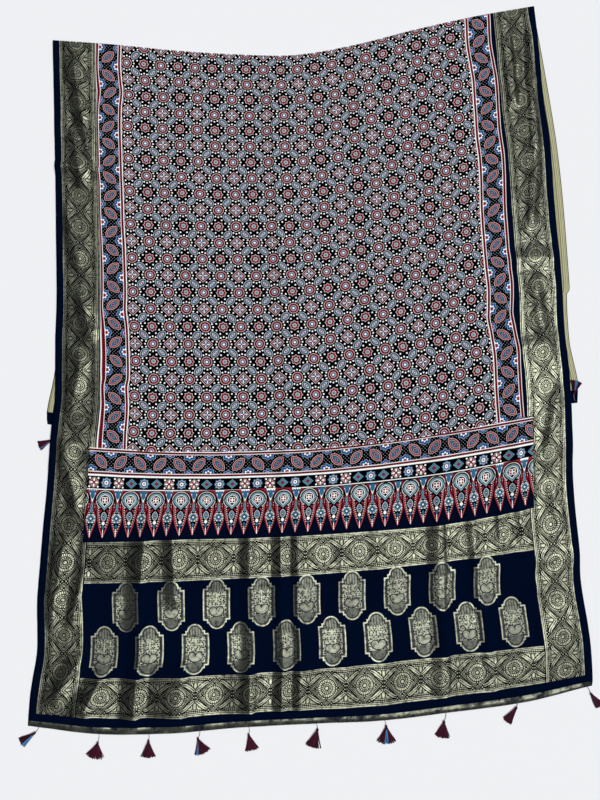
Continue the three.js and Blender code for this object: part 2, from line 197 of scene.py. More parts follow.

# %% [markdown]
# ## Creases
# A cloth that was stored folded keeps soft ridges where its folds were, and it ripples where it was pulled
# straight. The main ones are listed one by one. Each is a line on the cloth, from one width and length to another,
# with a height. Its two sides reach out to different widths, because a ridge that stands steep on one side and
# runs out on the other is what catches the light. It dies out towards both ends, over a share of its length.

# %% Creases, listed one by one
CREASES = [  # u and s of one end, u and s of the other, height, reach to the left and right, fading share
    # along the end bands and the cartouches
    (212, 3, 220, 430, 9.2, 36, 9, 0.055), (288, 230, 270, 430, 5.8, 26, 14, 0.15),
    (440, 4, 436, 420, 5.6, 26, 14, 0.10), (503, 2, 507, 1490, 6.6, 26, 8, 0.03),
    (536, 4, 534, 470, 6.6, 24, 34, 0.10), (822, 4, 838, 560, 8.0, 38, 12, 0.08),
    (917, 4, 896, 440, 5.8, 22, 12, 0.10), (960, 270, 950, 520, 5.0, 16, 16, 0.20),
    (1012, 250, 985, 540, 6.0, 24, 16, 0.20), (700, 4, 706, 500, 2.8, 30, 30, 0.15),
    (622, 4, 630, 380, 2.8, 24, 24, 0.15),
    (306, 6, 300, 135, 6.4, 80, 12, 0.14), (440, 6, 436, 135, 5.0, 70, 10, 0.14),
    # ripples where the corners were pulled
    (104, 14, 148, 118, 7.0, 34, 16, 0.20), (40, 40, 98, 150, 6.0, 28, 14, 0.25),
    (34, 196, 52, 392, 7.0, 26, 18, 0.20), (72, 196, 96, 330, 4.6, 18, 16, 0.30),
    (965, 20, 1100, 190, 4.2, 34, 20, 0.30), (1000, 200, 1110, 262, 3.0, 20, 14, 0.25),
    # cross creases
    (-10, 262, 1125, 268, 3.4, 20, 26, 0.03), (-10, 868, 430, 862, 3.2, 34, 30, 0.30),
    (-10, 1190, 130, 1187, 4.4, 9, 26, 0.10), (-10, 560, 120, 572, 3.0, 26, 24, 0.30),
    (990, 700, 1125, 712, 2.8, 26, 26, 0.30), (985, 905, 1125, 880, 3.0, 30, 22, 0.25),
    # the left band
    (42, 1488, 70, 1300, 9.8, 24, 24, 0.06), (66, 1320, 86, 1190, 7.6, 18, 18, 0.20),
    (44, 1290, 62, 1130, 7.0, 22, 18, 0.30), (46, 910, 88, 780, 7.4, 22, 18, 0.25),
    (20, 1110, 56, 930, 5.0, 26, 18, 0.30), (62, 780, 34, 610, 4.8, 20, 20, 0.30),
    (22, 560, 74, 420, 5.6, 22, 16, 0.30),
    # the right band
    (1100, 1488, 1086, 1290, 9.0, 26, 14, 0.08), (1094, 1330, 1072, 1110, 7.4, 24, 12, 0.20),
    (1078, 1140, 1052, 940, 7.0, 22, 14, 0.25), (1042, 1488, 1044, 1250, 7.6, 18, 22, 0.10),
    (1046, 880, 1078, 640, 5.2, 22, 18, 0.30), (1090, 620, 1050, 430, 5.4, 22, 16, 0.30),
    (1060, 420, 1092, 280, 4.8, 18, 16, 0.30),
    # the field
    (300, 560, 312, 1490, 1.8, 60, 60, 0.20), (720, 540, 700, 1490, 2.0, 60, 60, 0.20),
    (880, 760, 930, 1490, 2.2, 60, 50, 0.20), (150, 900, 170, 1490, 1.8, 40, 50, 0.25),
]
CREASE_STRENGTH = 1.35
SHARP_SHARE = 0.45  # how much of a crease has a sharp top and straight sides; the rest is rounded


def crease_height(u, s, crease):
    u1, s1, u2, s2, height, left_reach, right_reach, fade = crease
    length = math.hypot(u2 - u1, s2 - s1)
    along = ((u - u1) * (u2 - u1) + (s - s1) * (s2 - s1)) / length**2
    side = ((u - u1) * (s2 - s1) - (s - s1) * (u2 - u1)) / length
    reach = np.where(side < 0, left_reach, right_reach)
    away = np.clip(np.abs(side) / reach, 0.0, 1.0)
    ends = smooth_step(np.minimum(along, 1 - along), 0.0, fade)
    profile = SHARP_SHARE * (1 - away) + (1 - SHARP_SHARE) * (1 - smooth_step(away, 0.0, 1.0))
    return CREASE_STRENGTH * height * ends * profile


print(len(CREASES), "creases, the highest", max(row[4] for row in CREASES), "mm")

# %% Heights of the upper layer
RIPPLES = ((1.1, 120, 3), (0.55, 44, 7))  # height, wave length, seed
WAVES = 14  # in the sum that makes one kind of ripple
FULL_HEIGHT = 1.9  # brings the sum up to about -1 to 1


def slow_noise(x, y, wave, seed):
    """Smooth unevenness between about -1 and 1: a seeded sum of long waves in different directions."""
    random = np.random.default_rng(seed)
    total = np.zeros_like(x)
    for _ in range(WAVES):
        angle, phase = random.uniform(0, 2 * math.pi, 2)
        length = wave * random.uniform(0.7, 1.6)
        total += np.sin((x * math.cos(angle) + y * math.sin(angle)) * 2 * math.pi / length + phase)
    return total / WAVES * FULL_HEIGHT


def upper_underside(x, y, s, t):
    """Z of the upper layer's underside: over the lower layer and its tassels, then down to the floor."""
    over_layer = THICKNESS + LAYER_GAP
    past_hem = smooth_curve(EIGHTHS, BACK_HEM, t)[None, :] - y
    to_fold = smooth_curve(EIGHTHS, FOLD_LINE, t)[None, :] - y
    settled = smooth_step(to_fold, 0.0, FOLD_EASE)
    rise = (TASSEL_ROOM - over_layer) * smooth_step(past_hem, -RISE_LENGTH, 0.0)
    fall = 1 - smooth_step(past_hem, TASSEL_REACH, TASSEL_REACH + STEP_DOWN)
    u, s = np.broadcast_arrays(t[None, :] * CLOTH_WIDTH, s[:, None])
    ridges = sum(crease_height(u, s, crease) for crease in CREASES)
    ripple = sum(height * (1 + slow_noise(x, y, wave, seed)) for height, wave, seed in RIPPLES)
    return (over_layer + rise) * fall + (2 * FOLD_RADIUS - over_layer) * (1 - settled) + (ridges + ripple) * settled


print("ripples of", len(RIPPLES), "lengths run over the creases")

# %% [markdown]
# ## The cloth as one closed sheet
# The cloth is a grid of thread crossings, a face and a reverse a cloth's thickness apart, closed round its edge.
# It runs from the front hem over the upper layer, round the fold and back under itself to the other hem. Rows
# and columns fall on the edges of every woven band and printed border, so each region can have its own dye or
# gold thread, and each pattern stays short enough to follow.

# %% Rows and columns of the grid
SELVEDGE = 14  # bare navy, along both sides
END_PRINT_LEFT, END_PRINT_RIGHT = 85, 1030  # the print across the ends
BAND_LEFT, BAND_RIGHT = 93.5, 1021.5  # inner edges of the gold side bands
WIDE_BAND_LEFT, WIDE_BAND_RIGHT = 97, 1018  # the same, beside the printed field
PRINT_LEFT_U, PRINT_RIGHT_U = 101.9, 1009.2  # outer edges of the printed side borders
FIELD_LEFT, FIELD_RIGHT = 158.5, 948.7
BAND_EDGES_U = (
    0, SELVEDGE, END_PRINT_LEFT, BAND_LEFT, WIDE_BAND_LEFT, PRINT_LEFT_U, FIELD_LEFT,
    FIELD_RIGHT, PRINT_RIGHT_U, WIDE_BAND_RIGHT, BAND_RIGHT, END_PRINT_RIGHT, CLOTH_WIDTH - SELVEDGE, CLOTH_WIDTH,
)
STRIP_END, HEM_END = 10, 26  # the gold strip of the hem, and the navy above it
CARTOUCHES_START, CARTOUCHES_END = 103.5, 289
DROPS_START, DROPS_END = 366, 469
PRINT_START = 554.5  # of the field and the side borders
BAND_EDGES_S = (
    0, STRIP_END, HEM_END, CARTOUCHES_START, CARTOUCHES_END, DROPS_START, DROPS_END, PRINT_START, UPPER_LENGTH,
)
TUCK_ROWS = [640, 668, 676, 700]  # more rows where the lower layer's right selvedge is tucked in
COLUMN_PITCH = 6.9
ROW_PITCH = 7.6
LOWER_ROW_PITCH = 19.0
BEND_ROWS = 7


def grid_lines(edges, pitch):
    """The edges, and even steps of about a pitch between them."""
    lines = [float(edges[0])]
    for low, high in zip(edges[:-1], edges[1:]):
        count = max(1, round((high - low) / pitch))
        lines += [low + (high - low) * (i + 1) / count for i in range(count)]
    return np.array(lines)


columns_u = grid_lines(BAND_EDGES_U, COLUMN_PITCH)
upper_s = grid_lines(BAND_EDGES_S, ROW_PITCH)
lower_edges = sorted(CLOTH_LENGTH - UPPER_LENGTH - s for s in BAND_EDGES_S[:-1])
lower_d = grid_lines([0.0] + lower_edges[:1] + TUCK_ROWS + lower_edges[1:], LOWER_ROW_PITCH)
lower_d = np.unique(np.round(lower_d, 3))
print(len(columns_u), "columns,", len(upper_s), "rows above and", len(lower_d), "below")

# %% [markdown]
# A printer sets the blocks down by eye, so the print never runs quite parallel to the woven bands. Its edges
# wander by a few millimetres, and the grid wanders with them: the rows and columns at the edges of the print are
# shifted by what three short tables say, while the cloth itself stays where it lies.

# %% How far the print wanders
PRINT_LEFT = [  # s, shift of the print's left edge across the cloth
    (554, 6), (600, 5.2), (650, 3.3), (690, 1.8), (708, 5.2), (750, 6), (800, 4.8), (850, -0.7), (880, -1.7),
    (950, -1.2), (1000, -1.7), (1050, -3.2), (1100, -3.9), (1300, -3.9), (1340, -2.2), (1380, 2.3), (1400, 0.8),
    (1440, -1.2), (1490, 1.3),
]
PRINT_RIGHT = [  # s, the same for the right edge
    (554, 3), (600, 0.5), (650, 1.5), (700, 4.5), (750, -0.5), (780, -5.5), (800, -4.5), (850, -1.5), (900, -3),
    (1000, -2.5), (1050, -1.5), (1100, 0.5), (1150, 1.5), (1200, 0.5), (1250, 3.5), (1300, 5.5), (1340, 6),
    (1380, 2.5), (1420, -0.5), (1490, 2.5),
]
PRINT_LINES = [  # u, shift of the lines across the cloth, along it
    (85, 0), (100, 0), (150, 1), (190, -1.5), (250, -0.5), (300, 1.3), (400, 2.3), (500, 3.7), (530, 2),
    (560, -1.5), (600, -1), (700, -2.7), (800, -2.7), (850, -1.7), (900, -1), (950, 1.3), (1000, 3.3), (1030, 3.5),
]


def print_shift(s, u):
    """The shift across and the shift along, for rows at s and columns at u."""
    share = ((u - PRINT_LEFT_U) / (PRINT_RIGHT_U - PRINT_LEFT_U))[None, :]
    across = read_table(PRINT_LEFT, s)[:, None] * (1 - share) + read_table(PRINT_RIGHT, s)[:, None] * share
    printed = smooth_step(u, WIDE_BAND_LEFT, PRINT_LEFT_U) * (1 - smooth_step(u, PRINT_RIGHT_U, WIDE_BAND_RIGHT))
    across = across * smooth_step(s, 490, 554)[:, None] * printed[None, :]
    printed = smooth_step(u, 80, BAND_LEFT) * (1 - smooth_step(u, BAND_RIGHT, 1035))
    lengths = smooth_step(s, 372, 440) * (1 - smooth_step(s, 600, 760))
    return across, lengths[:, None] * (read_table(PRINT_LINES, u) * printed)[None, :]


across_shift, along_shift = print_shift(upper_s, columns_u)
print("the print wanders by up to", round(float(np.abs(across_shift).max()), 1), "mm")

# %% Face and reverse points
def sheet_points():
    """Rows of face points, rows of reverse points, and the width u and length s of each."""
    t = columns_u / CLOTH_WIDTH
    x, y = upper_plan(upper_s, t)
    steps = [(np.gradient(grid, columns_u, axis=1), np.gradient(grid, upper_s, axis=0)) for grid in (x, y)]
    x, y = (grid + across_shift * by_u + along_shift * by_s for grid, (by_u, by_s) in zip((x, y), steps))
    z = upper_underside(x, y, upper_s, t)
    face = [np.stack([x, y, z + THICKNESS], axis=2)]
    reverse = [np.stack([x, y, z], axis=2)]
    fold_x, fold_y = lower_plan(np.array([0.0]), t)
    centre = THICKNESS / 2 + FOLD_RADIUS
    for i in range(1, BEND_ROWS):
        angle = math.pi / 2 - math.pi * i / BEND_ROWS
        for rows, radius in ((face, FOLD_RADIUS + THICKNESS / 2), (reverse, FOLD_RADIUS - THICKNESS / 2)):
            height = np.full_like(fold_x, centre + radius * math.sin(angle))
            rows.append(np.stack([fold_x, fold_y + radius * math.cos(angle), height], axis=2))
    x, y = lower_plan(lower_d, t)
    face.append(np.stack([x, y, np.zeros_like(x)], axis=2))
    reverse.append(np.stack([x, y, np.full_like(x, THICKNESS)], axis=2))
    lengths = np.concatenate([upper_s, np.full(BEND_ROWS - 1, UPPER_LENGTH), UPPER_LENGTH + lower_d])
    u = np.repeat(columns_u[None, :], len(lengths), axis=0)
    s = np.repeat(lengths[:, None], len(columns_u), axis=1)
    u[:len(upper_s)] += across_shift
    s[:len(upper_s)] += along_shift
    return np.concatenate(face), np.concatenate(reverse), lengths, u, s


face_points, reverse_points, row_s, place_u, place_s = sheet_points()
print("grid of", face_points.shape[:2], "crossings, highest", round(float(face_points[..., 2].max()), 1), "mm")

# %% Regions, each with its own finish
REGIONS = ("hem", "side_band", "end_band", "cartouches", "drops", "cross_border", "side_border", "field", "reverse")


def region_of(u, s):
    """The region at the width u and the length s. Both ends of the cloth are alike."""
    s = min(s, CLOTH_LENGTH - s)
    if s < HEM_END:
        return "hem"
    if DROPS_START < s < PRINT_START and END_PRINT_LEFT < u < END_PRINT_RIGHT:
        return "drops" if s < DROPS_END else "cross_border"
    if not BAND_LEFT < u < BAND_RIGHT or (s > PRINT_START and not WIDE_BAND_LEFT < u < WIDE_BAND_RIGHT):
        return "side_band"
    if s < DROPS_START:
        return "cartouches" if CARTOUCHES_START < s < CARTOUCHES_END else "end_band"
    return "field" if FIELD_LEFT < u < FIELD_RIGHT else "side_border"


print("regions:", ", ".join(REGIONS))

# %% The sheet's mesh
def sheet_mesh(name):
    """The closed mesh, its faces as corner numbers, and how many of them are on the face of the cloth."""
    rows, columns = face_points.shape[:2]
    points = np.concatenate([face_points.reshape(-1, 3), reverse_points.reshape(-1, 3)]) * MM
    index = np.arange(rows * columns).reshape(rows, columns)
    under = index + rows * columns
    top = np.stack([index[:-1, :-1], index[:-1, 1:], index[1:, 1:], index[1:, :-1]], axis=2).reshape(-1, 4)
    bottom = np.stack([under[:-1, :-1], under[1:, :-1], under[1:, 1:], under[:-1, 1:]], axis=2).reshape(-1, 4)
    sides = [
        np.stack([index[:-1, 0], index[1:, 0], under[1:, 0], under[:-1, 0]], axis=1),
        np.stack([index[1:, -1], index[:-1, -1], under[:-1, -1], under[1:, -1]], axis=1),
        np.stack([index[0, 1:], index[0, :-1], under[0, :-1], under[0, 1:]], axis=1),
        np.stack([index[-1, :-1], index[-1, 1:], under[-1, 1:], under[-1, :-1]], axis=1),
    ]
    quads = np.concatenate([top, bottom] + sides)
    mesh = bpy.data.meshes.new(name)
    mesh.from_pydata(points.tolist(), [], quads.tolist())
    middle_u = (columns_u[:-1] + columns_u[1:]) / 2
    middle_s = (row_s[:-1] + row_s[1:]) / 2
    slots = [REGIONS.index(region_of(u, s)) for s in middle_s for u in middle_u]
    slots += [REGIONS.index("reverse")] * len(bottom)
    slots += [REGIONS.index("hem")] * sum(len(side) for side in sides)
    mesh.polygons.foreach_set("material_index", np.array(slots, np.int32))
    smooth = np.ones(len(quads), bool)
    smooth[len(top) + len(bottom):] = False
    mesh.polygons.foreach_set("use_smooth", smooth)
    return mesh, quads, len(top)


cloth_mesh, cloth_quads, top_count = sheet_mesh("stole_cloth")
print("sheet of", len(cloth_quads), "faces")

# %% [markdown]
# ## Three maps over the cloth
# A pattern that is woven goes where its threads go. So the first map, `weave`, gives every point its own place in
# the flat cloth: the width and the length in metres. The second, `print`, gives its place in the print, which
# wanders over the cloth. The third, `OFBake`, only shares out room on a square for a copy of the finish. The layer
# in sight gets three quarters of it, and the hidden ones the rest.

# %% The maps
PRINT_OFFSET = 3.9  # the print's middle lies this far to the left of the cloth's
SEEN_ROOM, SPARE_ROOM, ROOM_GAP = 0.745, 0.115, 0.005  # widths on the square of OFBake


def add_map(mesh, name, u, v):
    mesh.uv_layers.new(name=name).data.foreach_set("uv", np.stack([u, v], axis=1).astype(np.float32).reshape(-1))


def sheet_maps(mesh, quads):
    rows, columns = face_points.shape[:2]
    u, s = np.tile(place_u.reshape(-1), 2), np.tile(place_s.reshape(-1), 2)
    row_of = np.tile(np.repeat(np.arange(rows), columns), 2)
    column_u = np.tile(np.tile(columns_u, rows), 2)
    length_s = row_s[row_of]
    corner = quads.reshape(-1)
    add_map(mesh, "weave", u[corner] * MM, s[corner] * MM)
    region = np.empty(len(quads), np.int32)
    mesh.polygons.foreach_get("material_index", region)
    by_block = np.repeat(np.isin(region, [REGIONS.index("field"), REGIONS.index("side_border")]), 4)
    print_u = np.where(by_block, column_u[corner] + PRINT_OFFSET, u[corner])
    add_map(mesh, "print", print_u * MM, length_s[corner] * MM)
    is_top = np.repeat(np.arange(len(quads)), 4) < top_count
    is_upper = np.repeat(row_of[quads].min(axis=1), 4) < len(upper_s) - 1
    across, along = column_u[corner] / CLOTH_WIDTH, length_s[corner] / UPPER_LENGTH
    below = np.clip((length_s[corner] - UPPER_LENGTH) / LOWER_LENGTH, 0, 1)
    left = SEEN_ROOM + np.where(is_top, ROOM_GAP, 2 * ROOM_GAP + SPARE_ROOM)
    room_x = np.where(is_top & is_upper, across * SEEN_ROOM, left + across * SPARE_ROOM)
    room_y = np.where(is_upper, np.where(is_top, along, 0.5 + along * 0.5), np.where(is_top, below, below * 0.49))
    add_map(mesh, "OFBake", room_x, room_y)


sheet_maps(cloth_mesh, cloth_quads)
cloth = bpy.data.objects.new("stole_cloth", cloth_mesh)
bpy.context.scene.collection.objects.link(cloth)
print("maps:", [layer.name for layer in cloth_mesh.uv_layers])

# %% [markdown]
# ## Drawing a pattern with numbers
# The prints and the brocade are drawn by numbers alone. A shader can draw a shape from its distance: a number
# that is negative inside, zero on the outline and positive outside. Rings, dots, leaves and lines are all short
# sums on the place in the cloth. A `Chart` keeps such a drawing: `math` adds one Math node, `Amount` lets a
# formula be written with plain signs, `paint` lays one dye over those already there, and `nest` lays several, each
# within the one before. All sizes in a drawing are millimetres.

# %% Amounts that differ from place to place
class Amount:
    """A number that differs over the cloth. Adding, multiplying and so on adds a Math node."""

    def __init__(self, chart, socket):
        self.chart, self.socket = chart, socket

    def _math(self, operation, *others):
        return self.chart.math(operation, self, *others)

    def __add__(self, other):
        return self._math("ADD", other)

    def __radd__(self, other):
        return self._math("ADD", other)

    def __sub__(self, other):
        return self._math("SUBTRACT", other)

    def __rsub__(self, other):
        return self.chart.math("SUBTRACT", other, self)

    def __mul__(self, other):
        return self._math("MULTIPLY", other)

    def __rmul__(self, other):
        return self._math("MULTIPLY", other)

    def __truediv__(self, other):
        return self._math("DIVIDE", other)

    def __abs__(self):
        return self._math("ABSOLUTE")


print("amounts take +, -, *, / and abs")

# %% A chart: one finish, drawn layer by layer
def dye(red, green, blue):
    """A colour given as it looks on a screen, 0 to 255, turned into light."""
    def light(value):
        value /= 255
        return value / 12.92 if value <= 0.04045 else ((value + 0.055) / 1.055) ** 2.4
    return (light(red), light(green), light(blue), 1.0)


def mix_colours(nodes, links, share, below, above):
    """A Mix node between two colours, each given as a dye or as the output of another node."""
    node = nodes.new("ShaderNodeMix")
    node.data_type = "RGBA"
    links.new(share, node.inputs[0])
    for socket, colour in ((node.inputs[6], below), (node.inputs[7], above)):
        if isinstance(colour, tuple):
            socket.default_value = colour
        else:
            links.new(colour, socket)
    return node.outputs[2]


BLUR = 0.3  # reach of a printed or woven edge, in millimetres
DIAGONAL = 0.7071


class Chart:
    """The shader of one region of the cloth."""

    def __init__(self, name, ground, map_name="weave"):
        self.material = bpy.data.materials.new(name)
        self.material.use_nodes = True
        self.nodes, self.links = self.material.node_tree.nodes, self.material.node_tree.links
        self.shader = self.nodes["Principled BSDF"]
        self.place = self.nodes.new("ShaderNodeUVMap")
        self.place.uv_map = map_name
        self.colour = ground

    def math(self, operation, *inputs, clamp=False):
        node = self.nodes.new("ShaderNodeMath")
        node.operation, node.use_clamp = operation, clamp
        for socket, value in zip(node.inputs, inputs):
            if isinstance(value, Amount):
                self.links.new(value.socket, socket)
            else:
                socket.default_value = value
        return Amount(self, node.outputs[0])

    def least(self, a, b):
        return self.math("MINIMUM", a, b)

    def most(self, a, b):
        return self.math("MAXIMUM", a, b)

    def nearest(self, a):
        return self.math("ROUND", a)

    def odd(self, a):
        return self.math("FLOORED_MODULO", a, 2.0)

    def choose(self, share, chosen, other):
        """The chosen number where the share is 1, and the other where it is 0."""
        return (chosen - other) * share + other

    def reach(self, a, b):
        """The distance from the middle of a shape, a across and b along."""
        return self.math("SQRT", self.math("MULTIPLY_ADD", a, a, b * b))

    def inside(self, distance, blur=BLUR):
        """1 where the distance is negative, 0 where it is positive, with a soft edge."""
        return self.math("MULTIPLY_ADD", distance, -0.5 / blur, 0.5, clamp=True)

    def line(self, distance, half):
        return self.inside(abs(distance) - half)

    def repeat(self, a, pitch):
        """The distance to the nearest of a row of marks, a pitch apart, with its sign."""
        share = a / pitch
        return (share - self.nearest(share)) * pitch

    def leaf(self, along, across, half_length, half_width):
        """A leaf with two tips: where two equal discs overlap."""
        radius = (half_length**2 + half_width**2) / (2 * half_width)
        return self.reach(abs(across) + (radius - half_width), along) - radius

    def texture(self, kind, **settings):
        """A texture laid over the cloth."""
        node = self.nodes.new(kind)
        setattr(node, "noise_dimensions" if kind == "ShaderNodeTexNoise" else "voronoi_dimensions", "2D")
        for title, value in settings.items():
            node.inputs[title].default_value = value
        self.links.new(self.place.outputs[0], node.inputs["Vector"])
        return node

    def uneven(self, scale, detail, gain, start, clamp=True, **settings):
        """A number that wanders over the cloth: a noise times gain, counted from start."""
        noise = self.texture("ShaderNodeTexNoise", Scale=scale, Detail=detail, **settings)
        return self.math("MULTIPLY_ADD", Amount(self, noise.outputs[0]), gain, start, clamp=clamp)

    def paint(self, mask, colour):
        self.colour = mix_colours(self.nodes, self.links, mask.socket, self.colour, colour)

    def nest(self, distance, *steps, where=None):
        """Paints one shape within the other: each step is how far inside the outline it begins, and its dye."""
        for inset, colour in steps:
            mask = self.inside(distance + inset)
            self.paint(mask if where is None else mask * where, colour)


print("a chart paints from the ground up")

# %% [markdown]
# ## Dyes and the weave
# The prints use few dyes: an iron black that turns navy where it is thin, madder red, indigo in two strengths and
# the undyed white of the cloth. Indigo and madder never take quite evenly, so fine noise changes their strength.
# The weave itself is a bump of crossing threads about half a millimetre apart.

# %% Dyes
BLACK = dye(0, 1, 5)
NAVY = dye(2, 11, 32)
GREY = dye(172, 182, 190)
WHITE = dye(246, 247, 244)
CREAM = dye(214, 200, 198)
MADDER = dye(138, 34, 52)
MADDER_DARK = dye(24, 2, 12)
LINE_RED = dye(120, 26, 42)
MADDER_PALE = dye(200, 116, 122)
INDIGO = dye(46, 100, 136)
INDIGO_BRIGHT = dye(26, 82, 144)
INDIGO_DARK = dye(14, 38, 84)
INDIGO_PALE = dye(130, 170, 180)
print("dyes: black, navy, grey, white, cream, madders and indigos")

# %% Where a block was set down, and the weave
THREAD_PITCH = 0.62
BUMP_HEIGHT = 0.0002
PER_METRE = 1000.0


def cloth_place(chart, sway=0.0, fold_ends=True):
    """Width and length in millimetres. sway moves a print a little, as blocks set down by hand do."""
    split = chart.nodes.new("ShaderNodeSeparateXYZ")
    chart.links.new(chart.place.outputs[0], split.inputs[0])
    u, s = (Amount(chart, split.outputs[i]) * PER_METRE for i in (0, 1))
    if fold_ends:
        s = chart.least(s, CLOTH_LENGTH - s)
    if sway:
        noise = chart.texture("ShaderNodeTexNoise", Scale=13.0, Detail=4.0, Roughness=0.45)
        parts = chart.nodes.new("ShaderNodeSeparateColor")
        chart.links.new(noise.outputs["Color"], parts.inputs[0])
        move_u, move_s = (chart.math("MULTIPLY_ADD", Amount(chart, parts.outputs[i]), 2 * sway, -sway) for i in (0, 1))
        u, s = u + move_u, s + move_s
    return u, s


def finish_cloth(chart, roughness=0.85, dye_noise=0.35, weave=0.25):
    """Uneven dye, the weave's bump and the shader's own gloss."""
    strength = chart.uneven(60.0, 5.0, dye_noise, 1 - dye_noise / 2, clamp=False, Roughness=0.7)
    tint = chart.nodes.new("ShaderNodeVectorMath")
    tint.operation = "SCALE"
    chart.links.new(chart.colour, tint.inputs[0])
    chart.links.new(strength.socket, tint.inputs["Scale"])
    chart.links.new(tint.outputs[0], chart.shader.inputs["Base Color"])
    split = chart.nodes.new("ShaderNodeSeparateXYZ")
    chart.links.new(chart.place.outputs[0], split.inputs[0])
    turn = 2 * math.pi * PER_METRE / THREAD_PITCH
    warp, weft = (chart.math("SINE", Amount(chart, split.outputs[i]) * turn) for i in (0, 1))
    bump = chart.nodes.new("ShaderNodeBump")
    bump.inputs["Strength"].default_value = weave
    bump.inputs["Distance"].default_value = BUMP_HEIGHT
    chart.links.new((weft * warp).socket, bump.inputs["Height"])
    chart.links.new(bump.outputs[0], chart.shader.inputs["Normal"])
    chart.shader.inputs["Roughness"].default_value = roughness
    chart.shader.inputs["Specular IOR Level"].default_value = 0.0
    return chart.material


print("threads every", THREAD_PITCH, "mm")

# %% [markdown]
# ## The printed field
# An ajrakh field is a lattice that four blocks share. At its crossings stand diamonds, stars and, between them,
# roundels, and in every cell between four crossings lies a leaf that points from roundel to roundel. White resist
# dots ring each motif. All of it is alike left and right, so the place within a cell is folded on itself first,
# and one drawing serves for all of it.

# %% The field
FIELD_U, FIELD_S = 174.9, 555.0
FIELD_PITCH_U, FIELD_PITCH_S = 39.13, 39.0
ROUNDEL_DOTS = ((0.435, 0.0), (0.383, 0.165))  # places as shares of the pitch
OTHER_DOTS = ((0.385, 0.187),)
DOT_RADIUS = 1.8
ROUNDEL_SIZE, STAR_SIZE, DIAMOND_SIZE = 11.6, 8.4, 11.1
LEAF_SIZE = (12.4, 7.7)  # half its length and half its width


def field_finish():
    chart = Chart("ajrakh field", BLACK, "print")
    u, s = cloth_place(chart, sway=1.3, fold_ends=False)
    x, y = (u - FIELD_U) / FIELD_PITCH_U, (s - FIELD_S) / FIELD_PITCH_S
    near_x, near_y = chart.nearest(x), chart.nearest(y)
    across, along = abs(x - near_x), abs(y - near_y)
    odd_x, odd_y = chart.odd(near_x), chart.odd(near_y)
    roundel = abs(odd_x - odd_y)
    star = odd_x * odd_y
    diamond = 1.0 - roundel - star
    pitch = (FIELD_PITCH_U + FIELD_PITCH_S) / 2
    long_way, short_way = chart.most(across, along), chart.least(across, along)

    def dots(places):
        spots = [chart.reach(long_way - a, short_way - b) for a, b in places]
        return chart.least(*spots) if len(spots) > 1 else spots[0]

    spot = chart.choose(roundel, dots(ROUNDEL_DOTS), dots(OTHER_DOTS)) * pitch
    chart.nest(spot, (-DOT_RADIUS, WHITE))

    slant, slope = (across - along) * (pitch * DIAGONAL), (across + along - 1.0) * (pitch * DIAGONAL)
    along_leaf, over_leaf = chart.choose(roundel, slope, slant), chart.choose(roundel, slant, slope)
    leaf = chart.leaf(along_leaf, over_leaf, *LEAF_SIZE)
    dash = chart.line(chart.repeat(along_leaf, 3.4), 0.85)
    chart.nest(leaf, (0, CREAM), (0.8, INDIGO))
    chart.paint(chart.line(leaf + 2.1, 0.8) * dash, BLACK)
    chart.nest(leaf, (3.7, INDIGO_PALE), (5.1, WHITE))
    chart.nest(chart.leaf(along_leaf, over_leaf, 4.8, 2.7), (0, MADDER))
    chart.nest(chart.leaf(along_leaf, over_leaf, 2.2, 0.9), (0, WHITE))

    r = chart.reach(across, along) * pitch
    angle = chart.math("ARCTAN2", short_way, long_way)

    def ring_of_beads(radius, step, bead):
        return chart.reach(r - radius, chart.repeat(angle, step) * radius) - bead

    ring = r - ROUNDEL_SIZE
    chart.nest(ring, (0, CREAM), (0.9, MADDER), where=roundel)
    chart.nest(ring_of_beads(8.7, math.pi / 6, 1.45), (0, MADDER_DARK), where=roundel)
    chart.nest(ring, (5.2, CREAM), (6.1, INDIGO), (9.2, WHITE), where=roundel)

    points = chart.least(long_way, (across + along) * DIAGONAL) * pitch - STAR_SIZE
    chart.nest(points, (0, CREAM), (0.9, MADDER), where=star)
    chart.nest(ring_of_beads(6.7, math.pi / 4, 1.35), (0, MADDER_DARK), where=star)
    chart.nest(r, (-4.8, CREAM), (-4.0, INDIGO_PALE), where=star)
    cross = chart.inside(abs(long_way - short_way) * pitch - 0.6) * chart.inside(r - 3.2)
    chart.paint(cross * star, INDIGO_DARK)

    edge = (across + along) * (pitch * DIAGONAL) - DIAMOND_SIZE
    chart.nest(edge, (0, CREAM), (0.9, MADDER), where=diamond)
    chart.nest(chart.reach(chart.repeat(slant, 4.4), edge + 2.3), (-1.2, MADDER_DARK), where=diamond)
    chart.nest(edge, (3.6, CREAM), (4.3, INDIGO), where=diamond)
    eyes = chart.line(chart.reach(long_way * pitch - 2.6, short_way * pitch - 2.6) - 1.6, 0.5)
    chart.paint(eyes * diamond, BLACK)
    chart.nest(chart.leaf(long_way * pitch - 4.8, short_way * pitch, 4.0, 1.1), (0, WHITE), where=diamond)
    chart.nest(r, (-2.5, CREAM), (-1.9, MADDER), where=diamond)
    return finish_cloth(chart)


field_material = field_finish()
print("field drawn with", len(field_material.node_tree.nodes), "nodes")

# %% [markdown]
# ## Printed borders
# The borders carry almonds that lean one way and the other, with a large half flower, blue and white, on one
# edge between them and a small blue one on the other edge. A beaded red line with white beside it closes each
# border. The same block is printed along both sides and across both ends, so one drawing takes the place along
# the border and the place across it.

# %% Almonds and half flowers
BORDER_WIDTH = 44.0
ALMOND_LEAN = math.radians(47)
ALMOND_SIZE = (17.6, 9.9)
LARGE_FLOWER, SMALL_FLOWER = (13.6, 1.4, 8.0), (9.6, 1.3, 6.0)  # radius, depth of its lobes, lobes in a half turn


